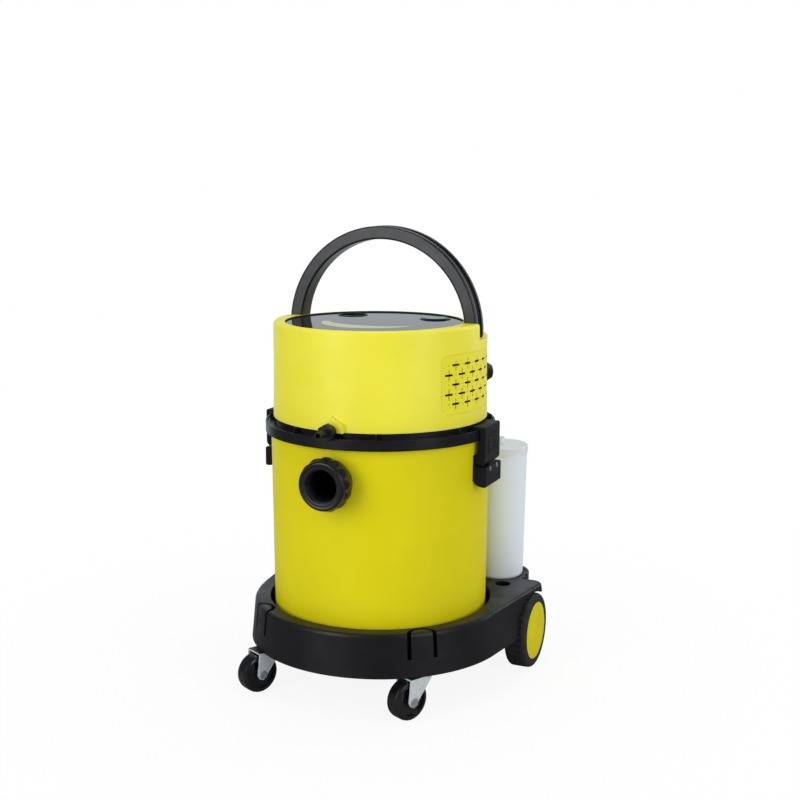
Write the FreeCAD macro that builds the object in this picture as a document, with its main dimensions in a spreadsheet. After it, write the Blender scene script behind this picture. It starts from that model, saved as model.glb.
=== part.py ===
import FreeCAD, Part
import math
import os
import Sketcher

# Spot extractor: a wet pick-up drum on a wheeled trolley with a motor head.
# Millimetres, +Z up. The origin is on the floor, at the centre of the footprint.
# Front is -Y, where the hose inlet and the solution outlet are.

doc = FreeCAD.newDocument("spot_extractor")

# Driving dimensions
# Heights are measured from the floor, radii and reaches from the drum's own axis.
driving_sizes = [
    # Trolley
    ("trolley_bottom_height", 55.0),
    ("trolley_deck_height", 110.0),
    ("trolley_radius", 173.0),
    ("trolley_draft_angle", 5.5),
    ("trolley_rear_half_width", 195.0),
    ("trolley_rear_reach", 142.0),
    ("trolley_wall", 3.5),
    ("trolley_edge_radius", 4.0),
    ("trolley_corner_radius", 14.0),
    ("fender_lip", 11.5),
    ("well_radius", 148.0),
    ("well_floor_height", 68.0),
    ("tongue_angle", 42.5),
    ("tongue_centre_radius", 169.5),
    ("tongue_half_width", 17.1),
    ("tongue_slot_width", 5.5),
    ("tongue_slot_depth", 33.0),
    ("deck_hole_radius", 11.0),
    ("deck_hole_side", 139.0),
    ("deck_hole_reach", 101.0),
    ("carrier_thickness", 8.0),
    ("carrier_half_length", 24.0),
    ("carrier_drop", 16.0),
    ("carrier_foot_half_length", 12.0),
    # Casters
    ("caster_reach", 157.5),
    ("caster_wheel_radius", 25.5),
    ("caster_wheel_width", 20.0),
    ("caster_wheel_edge", 4.0),
    ("caster_hub_radius", 8.0),
    ("caster_hub_step", 1.6),
    ("caster_web_radius", 19.5),
    ("caster_web_recess", 3.0),
    ("caster_trail", 20.0),
    ("caster_rest_turn", -27.0),
    ("caster_stem_radius", 5.5),
    ("caster_stem_length", 38.0),
    ("caster_socket_radius", 9.0),
    ("caster_raceway_radius", 10.5),
    ("caster_raceway_height", 5.0),
    ("caster_pin_radius", 4.0),
    ("caster_pin_head_radius", 6.0),
    ("caster_pin_head_height", 2.5),
    ("caster_axle_radius", 4.0),
    ("caster_axle_head_radius", 5.5),
    ("caster_axle_head_height", 1.8),
    ("fork_plate", 2.0),
    ("fork_gap", 24.0),
    ("fork_front", 4.5),
    ("fork_rear", 19.0),
    ("fork_rear_half_width", 8.0),
    ("fork_shoulder", 9.0),
    ("fork_end_radius", 7.5),
    ("fork_end_corner", 5.0),
    ("fork_crown_gap", 1.5),
    # Rear wheels
    ("wheel_radius", 50.8),
    ("wheel_width", 29.0),
    ("wheel_inner_side", 159.5),
    ("wheel_axle_reach", 99.0),
    ("wheel_shoulder_radius", 4.0),
    ("wheel_rim_radius", 39.0),
    ("wheel_rim_wall", 3.0),
    ("wheel_web", 4.0),
    ("wheel_hub_radius", 12.0),
    ("wheel_hub_end", 8.0),
    ("wheel_cap_radius", 38.5),
    ("wheel_cap_crown", 3.0),
    ("wheel_cap_flat_radius", 22.0),
    ("wheel_cap_wall", 2.0),
    ("wheel_arch_gap", 2.0),
    ("rear_axle_radius", 6.0),
    ("axle_clip_radius", 9.5),
    ("axle_clip_thickness", 1.2),
    ("axle_end_stand_off", 2.5),
    ("tread_depth", 1.6),
    ("tread_width", 2.6),
    ("tread_count", 36),
    # Drum
    ("drum_bottom_radius", 141.0),
    ("drum_top_radius", 143.6),
    ("drum_top_height", 340.0),
    ("drum_wall", 3.0),
    ("drum_rim_width", 3.4),
    ("drum_rim_height", 4.0),
    ("drum_corner_radius", 14.0),
    ("drum_screw_reach", 90.0),
    # Collar and gasket
    ("collar_radius", 150.8),
    ("collar_bottom_height", 335.7),
    ("collar_top_height", 349.2),
    ("collar_wall", 2.4),
    ("collar_web", 2.0),
    ("collar_inner_radius", 137.0),
    ("collar_inner_drop", 6.0),
    ("gasket_thickness", 2.5),
    ("gasket_inner_radius", 138.5),
    ("gasket_outer_radius", 146.6),
    # Head
    ("head_bottom_height", 355.5),
    ("head_top_height", 480.0),
    ("head_bottom_radius", 140.3),
    ("head_top_radius", 139.0),
    ("head_wall", 3.0),
    ("head_top_wall", 7.0),
    ("head_edge_radius", 5.0),
    ("shoulder_height", 460.0),
    ("step_corner_radius", 6.0),
    ("head_flange_radius", 147.6),
    ("head_flange_thickness", 3.0),
    ("head_base_rise", 16.0),
    ("head_floor_thickness", 3.5),
    ("head_post_reach", 127.0),
    ("head_post_radius", 6.0),
    ("head_post_rise", 37.0),
    ("head_post_web", 4.0),
    ("gap_rib_count", 8),
    ("gap_rib_angle", 22.5),
    ("gap_rib_thickness", 1.6),
    ("gap_rib_end", 1.5),
    ("panel_radius", 115.0),
    ("panel_reach", 19.0),
    ("panel_thickness", 3.0),
    ("panel_recess", 1.6),
    ("panel_ledge", 9.0),
    ("panel_boss", 2.0),
    # Vent grilles
    ("grille_half_angle", 33.0),
    ("grille_centre_height", 410.5),
    ("grille_half_height", 37.2),
    ("grille_corner_radius", 9.0),
    ("grille_thickness", 2.4),
    ("grille_recess", 0.4),
    ("grille_column_angle", 4.7),
    ("grille_row_pitch", 12.1),
    ("grille_slot_length", 12.4),
    ("grille_slot_height", 2.6),
    ("grille_groove_length", 13.5),
    ("grille_groove_width", 1.3),
    ("grille_groove_depth", 0.9),
    ("grille_dot_radius", 0.8),
    # Handle
    ("handle_outer_radius", 133.6),
    ("handle_thickness", 17.0),
    ("handle_width", 27.0),
    ("handle_reach", 13.5),
    ("handle_centre_height", 466.4),
    ("handle_edge_radius", 2.5),
    ("handle_heel_radius", 10.0),
    ("handle_groove_width", 13.0),
    ("handle_groove_depth", 3.0),
    ("handle_screw_spacing", 10.0),
    ("handle_screw_reach", 10.5),
    ("handle_screw_inset", 7.0),
    ("handle_screw_length", 14.0),
    # Switches
    ("switch_side", 60.0),
    ("switch_reach", 42.0),
    ("switch_radius", 20.0),
    ("switch_bezel_rise", 0.8),
    ("switch_barrel_radius", 19.0),
    ("switch_barrel_depth", 17.0),
    ("switch_bore_radius", 18.0),
    ("switch_floor", 2.0),
    ("rocker_ball_radius", 17.4),
    ("rocker_pivot_depth", 6.0),
    ("rocker_pin_radius", 1.8),
    ("rocker_valley_depth", 3.5),
    ("rocker_slope_angle", 8.0),
    ("rocker_under_depth", 5.0),
    ("button_radius", 17.6),
    ("button_rise", 1.0),
    ("button_edge_radius", 1.5),
    ("button_depth", 9.0),
    # Cord gland
    ("gland_angle", 130.0),
    ("gland_height", 405.0),
    ("gland_radius", 15.5),
    ("gland_flange", 4.0),
    ("gland_seat_depth", 2.0),
    ("gland_nose_radius", 9.0),
    ("gland_tail_radius", 10.0),
    ("gland_tail_length", 8.0),
    ("gland_bore_radius", 4.5),
    ("gland_reach", 154.0),
    # Solution outlet
    ("outlet_rise", 2.1),
    ("outlet_hex_radius", 11.0),
    ("outlet_hex_length", 9.0),
    ("outlet_back_reach", 151.5),
    ("outlet_tip_reach", 180.0),
    ("outlet_barrel_radius", 7.4),
    ("outlet_tube_radius", 4.8),
    ("outlet_bore_radius", 3.0),
    ("gable_half_width", 16.0),
    ("gable_shoulder_rise", 8.0),
    ("gable_rise", 17.5),
    ("gable_reach", 145.5),
    # Hose inlet
    ("inlet_height", 294.0),
    ("inlet_bore_radius", 20.0),
    ("inlet_wall", 3.0),
    ("inlet_tip_reach", 174.0),
    ("inlet_inner_reach", 128.0),
    ("inlet_flange_radius", 31.0),
    ("inlet_flange_reach", 146.9),
    ("nut_ring_radius", 29.5),
    ("nut_grip_radius", 34.0),
    ("nut_grip_length", 15.0),
    ("nut_back_reach", 148.2),
    ("nut_lip", 3.0),
    ("nut_scallop_count", 13),
    ("nut_scallop_radius", 5.0),
    ("nut_scallop_reach", 36.8),
    ("elbow_bend_radius", 32.0),
    ("elbow_drop", 22.0),
    # Latches
    ("latch_half_width", 27.0),
    ("latch_top_gap", 2.3),
    ("latch_length", 42.2),
    ("latch_pivot_reach", 148.4),
    ("latch_pin_radius", 2.0),
    ("latch_pin_cover", 1.5),
    ("latch_face_reach", 157.0),
    ("latch_plate", 4.0),
    ("latch_hook_reach", 147.2),
    ("latch_hook_thickness", 3.2),
    ("latch_hook_slant", 21.8),
    ("latch_edge_bevel", 1.5),
    ("latch_cheek", 3.0),
    ("latch_cheek_depth", 7.5),
    ("latch_notch_rise", 11.0),
    ("latch_hub_radius", 5.4),
    ("latch_foot_radius", 8.9),
    ("latch_rib_height", 1.0),
    ("latch_rib_width", 1.8),
    ("latch_rib_pitch", 4.4),
    ("latch_rib_rise", 7.0),
    ("latch_rib_count", 6),
    ("latch_rib_half_length", 16.0),
    ("bracket_drop", 35.0),
    ("bracket_reach", 159.0),
    ("bracket_bevel", 1.5),
    ("bracket_corner_radius", 14.0),
    ("bracket_corner_reach", 153.0),
    ("bracket_ear", 4.0),
    ("bracket_screw_drop", 12.8),
    ("bracket_screw_side", 12.0),
    ("bracket_screw_head_radius", 3.0),
    ("hook_clearance", 0.4),
    # Bottle
    ("bottle_side", 115.5),
    ("bottle_reach", 150.5),
    ("bottle_bottom_radius", 34.0),
    ("bottle_top_radius", 37.0),
    ("bottle_height", 178.0),
    ("bottle_wall", 2.0),
    ("bottle_corner_radius", 6.0),
    ("bottle_neck_radius", 31.0),
    ("bottle_neck_height", 6.9),
    ("lid_radius", 38.2),
    ("lid_wall", 2.0),
    ("lid_spout_radius", 6.0),
    ("lid_spout_height", 10.0),
    ("lid_spout_bore_radius", 2.0),
    ("cup_radius", 43.0),
    ("cup_recess", 2.5),
    ("cup_lip_height", 1.5),
    ("cup_depth", 14.0),
    # Suction motor, pump and float inside the head
    ("fan_case_radius", 62.0),
    ("fan_case_height", 34.0),
    ("fan_case_wall", 2.5),
    ("fan_vent_count", 8),
    ("fan_vent_width", 16.0),
    ("fan_vent_height", 8.0),
    ("motor_can_radius", 44.0),
    ("motor_can_height", 62.0),
    ("motor_can_wall", 2.5),
    ("stator_inner_radius", 24.0),
    ("stator_height", 36.0),
    ("armature_radius", 23.0),
    ("shaft_radius", 4.0),
    ("shaft_bottom_height", 358.0),
    ("fan_radius", 54.0),
    ("fan_bottom_height", 360.0),
    ("fan_disc", 2.0),
    ("fan_blade_height", 10.0),
    ("fan_blade_thickness", 1.6),
    ("fan_blade_inner_reach", 16.0),
    ("fan_blade_count", 9),
    ("fan_hub_radius", 10.0),
    ("suction_hole_radius", 24.0),
    ("pump_side", 84.0),
    ("pump_reach", 62.0),
    ("pump_radius", 17.0),
    ("pump_height", 58.0),
    ("pump_port_radius", 4.5),
    ("pump_port_length", 12.0),
    ("cage_radius", 40.0),
    ("cage_flange_radius", 48.0),
    ("cage_wall", 2.5),
    ("cage_window_count", 8),
    ("cage_window_width", 14.0),
    ("float_radius", 32.0),
    ("float_height", 38.0),
    ("float_travel", 22.0),
    # Fasteners and clearances
    ("screw_radius", 2.0),
    ("screw_head_radius", 4.2),
    ("screw_head_height", 2.4),
    ("screw_length", 14.0),
    ("running_clearance", 0.05),
    ("seat_clearance", 0.15),
    ("moving_clearance", 0.6),
]

sheet = doc.addObject("Spreadsheet::Sheet", "Sizes")
for row, (alias, number) in enumerate(driving_sizes, start=1):
    sheet.set("A%d" % row, alias)
    sheet.set("B%d" % row, str(number))
    sheet.setAlias("B%d" % row, alias)
doc.recompute()


class Size:
    """A number together with the sheet expression that gives it."""

    def __init__(self, number, text):
        self.number = number
        self.text = text

    def __add__(self, other):
        other = as_size(other)
        return Size(self.number + other.number, "(%s + %s)" % (self.text, other.text))

    def __radd__(self, other):
        return as_size(other) + self

    def __sub__(self, other):
        other = as_size(other)
        return Size(self.number - other.number, "(%s - %s)" % (self.text, other.text))

    def __rsub__(self, other):
        return as_size(other) - self

    def __mul__(self, other):
        other = as_size(other)
        return Size(self.number * other.number, "(%s * %s)" % (self.text, other.text))

    def __rmul__(self, other):
        return as_size(other) * self

    def __truediv__(self, other):
        other = as_size(other)
        return Size(self.number / other.number, "(%s / %s)" % (self.text, other.text))

    def __neg__(self):
        return Size(-self.number, "(0 - %s)" % self.text)


def as_size(value):
    return value if isinstance(value, Size) else Size(float(value), repr(float(value)))


def size(alias):
    """The sheet's own value of a driving dimension, bound by its name."""
    return Size(float(sheet.get(alias)), "Sizes.%s" % alias)


def sine(angle):
    return Size(math.sin(math.radians(angle.number)), "sin(%s * 1deg)" % angle.text)


def cosine(angle):
    return Size(math.cos(math.radians(angle.number)), "cos(%s * 1deg)" % angle.text)


def tangent(angle):
    return Size(math.tan(math.radians(angle.number)), "tan(%s * 1deg)" % angle.text)


# Sizes that follow from the driving ones and that several pieces share
rear_reach = size("bottle_reach") + size("cup_radius")
axis_y = (size("outlet_tip_reach") - rear_reach) / 2
trolley_height = size("trolley_deck_height") - size("trolley_bottom_height")
trolley_draft = trolley_height * tangent(size("trolley_draft_angle"))
deck_radius = size("trolley_radius") - trolley_draft
drum_bottom_height = size("well_floor_height") + size("seat_clearance")
web_top_height = size("drum_top_height") + size("collar_web")
gasket_bottom_height = web_top_height + size("running_clearance")
floor_bottom_height = gasket_bottom_height + size("gasket_thickness")
floor_top_height = floor_bottom_height + size("head_floor_thickness")
head_base_radius = size("head_bottom_radius") - size("head_wall") - size("seat_clearance")
panel_top_height = size("head_top_height") - size("panel_recess")
panel_bottom_height = panel_top_height - size("panel_thickness")
handle_inner_radius = size("handle_outer_radius") - size("handle_thickness")
handle_foot_height = size("shoulder_height") + size("running_clearance")
shelf_bottom_height = size("shoulder_height") - size("head_wall")
outlet_height = size("head_bottom_height") + size("outlet_rise")
crown_bottom_height = 2 * size("caster_wheel_radius") + size("fork_crown_gap")
crown_top_height = crown_bottom_height + size("fork_plate")
socket_bottom_height = crown_top_height + size("caster_raceway_height")
caster_side = size("caster_reach") * sine(size("tongue_angle"))
caster_front = -size("caster_reach") * cosine(size("tongue_angle"))
inlet_tube_radius = size("inlet_bore_radius") + size("inlet_wall")
bottle_bottom_height = (size("trolley_deck_height") - size("cup_recess")
                        + size("running_clearance"))
bottle_top_height = bottle_bottom_height + size("bottle_height")
motor_can_bottom_height = floor_top_height + size("fan_case_height")
motor_can_top_height = motor_can_bottom_height + size("motor_can_height")
latch_top_height = size("head_bottom_height") - size("latch_top_gap")
latch_pivot_height = latch_top_height - size("latch_length")
bracket_screw_height = latch_pivot_height - size("bracket_screw_drop")
cage_inner_height = floor_bottom_height - size("float_height") - size("float_travel")


# Turn that lays a piece of revolution on its side, in degrees
quarter_turn = 90
half_turn = 180
eighth_turn = as_size(45)
twelfth_turn = as_size(30)
corners_of_square = as_size(4)


# Sheet-bound building blocks
def origin_feature(body, role):
    return [f for f in body.Origin.OriginFeatures if f.Role == role][0]


def new_body(label):
    body = doc.addObject("PartDesign::Body", label)
    body.Label = label
    return body


def bind(feature, property_name, value):
    feature.setExpression(property_name, as_size(value).text)


def stand(piece, side=0, reach=0, height=0, turn_axis=None, turn=None):
    """Places a piece by side, reach and height from the drum's axis."""
    if turn_axis is not None:
        start = turn.number if isinstance(turn, Size) else turn
        piece.Placement = FreeCAD.Placement(FreeCAD.Vector(),
                                            FreeCAD.Rotation(FreeCAD.Vector(*turn_axis), start))
        if isinstance(turn, Size):
            bind(piece, "Placement.Rotation.Angle", turn)
    bind(piece, "Placement.Base.x", side)
    bind(piece, "Placement.Base.y", axis_y + reach)
    bind(piece, "Placement.Base.z", height)
    return piece


def new_sketch(body, plane, lift, turn=None):
    """A sketch lifted off its plane, or off its plane turned round the piece's upright axis."""
    sketch = body.newObject("Sketcher::SketchObject", body.Label + "_sketch")
    sketch.AttachmentSupport = (origin_feature(body, plane), [""])
    sketch.MapMode = "FlatFace"
    if turn is not None:
        sketch.AttachmentOffset = FreeCAD.Placement(
            FreeCAD.Vector(), FreeCAD.Rotation(FreeCAD.Vector(0, 1, 0), turn.number))
        bind(sketch, "AttachmentOffset.Rotation.Angle", turn)
        bind(sketch, "AttachmentOffset.Base.x", lift * sine(turn))
        bind(sketch, "AttachmentOffset.Base.z", lift * cosine(turn))
    elif lift is not None:
        bind(sketch, "AttachmentOffset.Base.z", lift)
    return sketch


def pin_point(sketch, line, end, x, y):
    """Holds a sketch point at sheet-bound coordinates."""
    for kind, value in (("DistanceX", as_size(x)), ("DistanceY", as_size(y))):
        index = sketch.addConstraint(
            Sketcher.Constraint(kind, -1, 1, line, end, value.number))
        if "Sizes" in value.text:
            sketch.setExpression("Constraints[%d]" % index, value.text)


def outline(body, plane, corners, lift=None):
    """A closed outline of straight edges whose corners follow the sheet."""
    sketch = new_sketch(body, plane, lift)
    points = [FreeCAD.Vector(as_size(x).number, as_size(y).number, 0) for x, y in corners]
    count = len(points)
    for i in range(count):
        sketch.addGeometry(Part.LineSegment(points[i], points[(i + 1) % count]), False)
    for i in range(count):
        sketch.addConstraint(Sketcher.Constraint("Coincident", i, 2, (i + 1) % count, 1))
    for i, (x, y) in enumerate(corners):
        pin_point(sketch, i, 1, x, y)
    return sketch


def rounded_outline(body, plane, half_width, half_height, corner, middle, lift=None):
    """A rectangle with round corners, its middle at the given height on the local Y axis."""
    sketch = new_sketch(body, plane, lift)
    x = half_width - corner
    y = half_height - corner
    centres = [(x, middle + y), (-x, middle + y), (-x, middle - y), (x, middle - y)]
    for i, (cx, cy) in enumerate(centres):
        circle = Part.Circle(FreeCAD.Vector(cx.number, cy.number, 0), FreeCAD.Vector(0, 0, 1),
                             corner.number)
        sketch.addGeometry(
            Part.ArcOfCircle(circle, i * math.pi / 2, (i + 1) * math.pi / 2), False)
    for i in range(4):
        start = sketch.Geometry[i].EndPoint
        end = sketch.Geometry[(i + 1) % 4].StartPoint
        sketch.addGeometry(Part.LineSegment(start, end), False)
    for i, (cx, cy) in enumerate(centres):
        pin_point(sketch, i, 3, cx, cy)
        index = sketch.addConstraint(Sketcher.Constraint("Radius", i, corner.number))
        sketch.setExpression("Constraints[%d]" % index, corner.text)
        sketch.addConstraint(Sketcher.Constraint("Tangent", i, 2, i + 4, 1))
        sketch.addConstraint(Sketcher.Constraint("Tangent", i + 4, 2, (i + 1) % 4, 1))
    return sketch


def circles(body, plane, rings, lift=None, turn=None):
    """Circles at sheet-bound centres, given as (x, y, radius)."""
    sketch = new_sketch(body, plane, lift, turn)
    for i, (x, y, radius) in enumerate(rings):
        centre = FreeCAD.Vector(as_size(x).number, as_size(y).number, 0)
        sketch.addGeometry(Part.Circle(centre, FreeCAD.Vector(0, 0, 1), as_size(radius).number),
                           False)
        pin_point(sketch, i, 3, x, y)
        index = sketch.addConstraint(
            Sketcher.Constraint("Radius", i, as_size(radius).number))
        sketch.setExpression("Constraints[%d]" % index, as_size(radius).text)
    return sketch


def arc_corners(x, y, radius, start, end, steps):
    """Corners along an arc about (x, y), from the start angle to the end angle in degrees."""
    corners = []
    for i in range(steps + 1):
        angle = as_size(start + (end - start) * i / steps)
        corners.append((x + radius * cosine(angle), y + radius * sine(angle)))
    return corners


def revolve(body, sketch, cut=False, angle=360.0, reverse=False):
    kind = "PartDesign::Groove" if cut else "PartDesign::Revolution"
    feature = body.newObject(kind, body.Label + "_turn")
    feature.Profile = sketch
    feature.ReferenceAxis = (sketch, ["V_Axis"])
    feature.Angle = angle
    feature.Reversed = reverse
    return feature


def extrude(body, sketch, length, cut=False, reverse=False, middle=False, taper=None):
    kind = "PartDesign::Pocket" if cut else "PartDesign::Pad"
    feature = body.newObject(kind, body.Label + ("_pocket" if cut else "_pad"))
    feature.Profile = sketch
    feature.Reversed = reverse
    feature.SideType = "Symmetric" if middle else "One side"
    feature.Type = "Length"
    bind(feature, "Length", length)
    if taper is not None:
        bind(feature, "TaperAngle", taper)
    return feature


def around(body, features, count):
    """Repeats features round the piece's own Z axis."""
    pattern = body.newObject("PartDesign::PolarPattern", body.Label + "_round")
    pattern.Originals = features if isinstance(features, list) else [features]
    pattern.Axis = (origin_feature(body, "Z_Axis"), [""])
    pattern.Angle = 360.0
    pattern.Occurrences = int(round(count.number))
    bind(pattern, "Occurrences", count)
    body.Tip = pattern
    return pattern


def fanned(body, features, count, step):
    """Repeats features a few times round the piece's Z axis at an even step."""
    pattern = around(body, features, as_size(count))
    pattern.Angle = (count - 1) * step.number
    bind(pattern, "Angle", (count - 1) * step)
    return pattern


def mirrored(body, features, plane="YZ_Plane"):
    pattern = body.newObject("PartDesign::Mirrored", body.Label + "_mirror")
    pattern.Originals = features
    pattern.MirrorPlane = (origin_feature(body, plane), [""])
    body.Tip = pattern
    return pattern


def round_edges(body, radius, choose):
    """Rounds the edges that a test picks out of the body's present shape."""
    doc.recompute()
    base = body.Tip
    names = ["Edge%d" % (i + 1) for i, edge in enumerate(base.Shape.Edges) if choose(edge)]
    fillet = body.newObject("PartDesign::Fillet", body.Label + "_fillet")
    fillet.Base = (base, names)
    bind(fillet, "Radius", radius)
    return fillet


def turned(label, corners):
    """A piece turned about its own Z axis from a (radius, height) profile."""
    body = new_body(label)
    revolve(body, outline(body, "XZ_Plane", corners))
    return body


def box(side, reach, height, x, y, z):
    return Part.makeBox(side, reach, height, FreeCAD.Vector(x, y, z))


def rod(radius, length, start, direction):
    return Part.makeCylinder(radius, length, FreeCAD.Vector(*start), FreeCAD.Vector(*direction))


def shaped(label, shape):
    """A piece whose shape is worked out here from the sheet's values."""
    feature = doc.addObject("Part::Feature", label)
    feature.Label = label
    feature.Shape = shape
    return feature


def value(alias):
    return size(alias).number


def is_circle_at(edge, radius, height):
    """True for a full level circle of this radius and height about the piece's axis."""
    if not isinstance(edge.Curve, Part.Circle):
        return False
    centre = edge.Curve.Center
    return (abs(edge.Curve.Radius - radius) < 0.05 and abs(centre.z - height) < 0.05
            and math.hypot(centre.x, centre.y) < 0.05)


# Trolley base: round tapered skirt and drum well, rear deck, wheel arches, caster tongues
def rear_plan(body, lift, inset):
    """Straight sides that leave the round front by tangents and end at the rear corners."""
    radius = size("trolley_radius") - inset
    half_width = size("trolley_rear_half_width") - inset
    rear = size("trolley_rear_reach") - inset
    corner_distance = math.hypot(half_width.number, rear.number)
    corner_angle = math.atan2(rear.number, half_width.number)
    touch = as_size(math.degrees(corner_angle - math.acos(radius.number / corner_distance)))
    touch_side = radius * cosine(touch)
    touch_reach = radius * sine(touch)
    return outline(body, "XY_Plane", [
        (touch_side, touch_reach), (half_width, rear), (-half_width, rear),
        (-touch_side, touch_reach)], lift)


def tongue_slot(body, angle):
    """U-shaped slot that frees the springy tongue over a caster."""
    half_slot = size("tongue_slot_width") / 2
    reach = size("trolley_radius") - size("tongue_centre_radius") + size("trolley_wall") * 2
    sketch = new_sketch(body, "XY_Plane", None)
    sketch.AttachmentOffset = FreeCAD.Placement(
        FreeCAD.Vector(), FreeCAD.Rotation(FreeCAD.Vector(0, 0, 1), angle.number - 90))
    bind(sketch, "AttachmentOffset.Base.x", size("tongue_centre_radius") * sine(angle))
    bind(sketch, "AttachmentOffset.Base.y", -size("tongue_centre_radius") * cosine(angle))
    bind(sketch, "AttachmentOffset.Base.z", size("trolley_deck_height"))
    bind(sketch, "AttachmentOffset.Rotation.Angle", angle - 90)
    ends = []
    for edge in (size("tongue_half_width") + half_slot, size("tongue_half_width") - half_slot):
        first = len(ends) * 3
        far_top = FreeCAD.Vector(reach.number, edge.number, 0)
        near_top = FreeCAD.Vector(0, edge.number, 0)
        near_bottom = FreeCAD.Vector(0, -edge.number, 0)
        far_bottom = FreeCAD.Vector(reach.number, -edge.number, 0)
        circle = Part.Circle(FreeCAD.Vector(), FreeCAD.Vector(0, 0, 1), edge.number)
        sketch.addGeometry(Part.LineSegment(far_top, near_top), False)
        sketch.addGeometry(Part.ArcOfCircle(circle, math.pi / 2, 3 * math.pi / 2), False)
        sketch.addGeometry(Part.LineSegment(near_bottom, far_bottom), False)
        sketch.addConstraint(Sketcher.Constraint("Coincident", first + 1, 3, -1, 1))
        sketch.addConstraint(Sketcher.Constraint("Tangent", first, 2, first + 1, 1))
        sketch.addConstraint(Sketcher.Constraint("Tangent", first + 1, 2, first + 2, 1))
        sketch.addConstraint(Sketcher.Constraint("Horizontal", first))
        pin_point(sketch, first, 1, reach, edge)
        pin_point(sketch, first + 2, 2, reach, -edge)
        ends.append((far_top, far_bottom))
    for side, point in ((0, 1), (1, 2)):
        sketch.addGeometry(Part.LineSegment(ends[0][side], ends[1][side]), False)
        line = 6 + side
        sketch.addConstraint(Sketcher.Constraint("Coincident", line, 1, 2 * side, point))
        sketch.addConstraint(Sketcher.Constraint("Coincident", line, 2, 3 + 2 * side, point))
    return sketch


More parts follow.
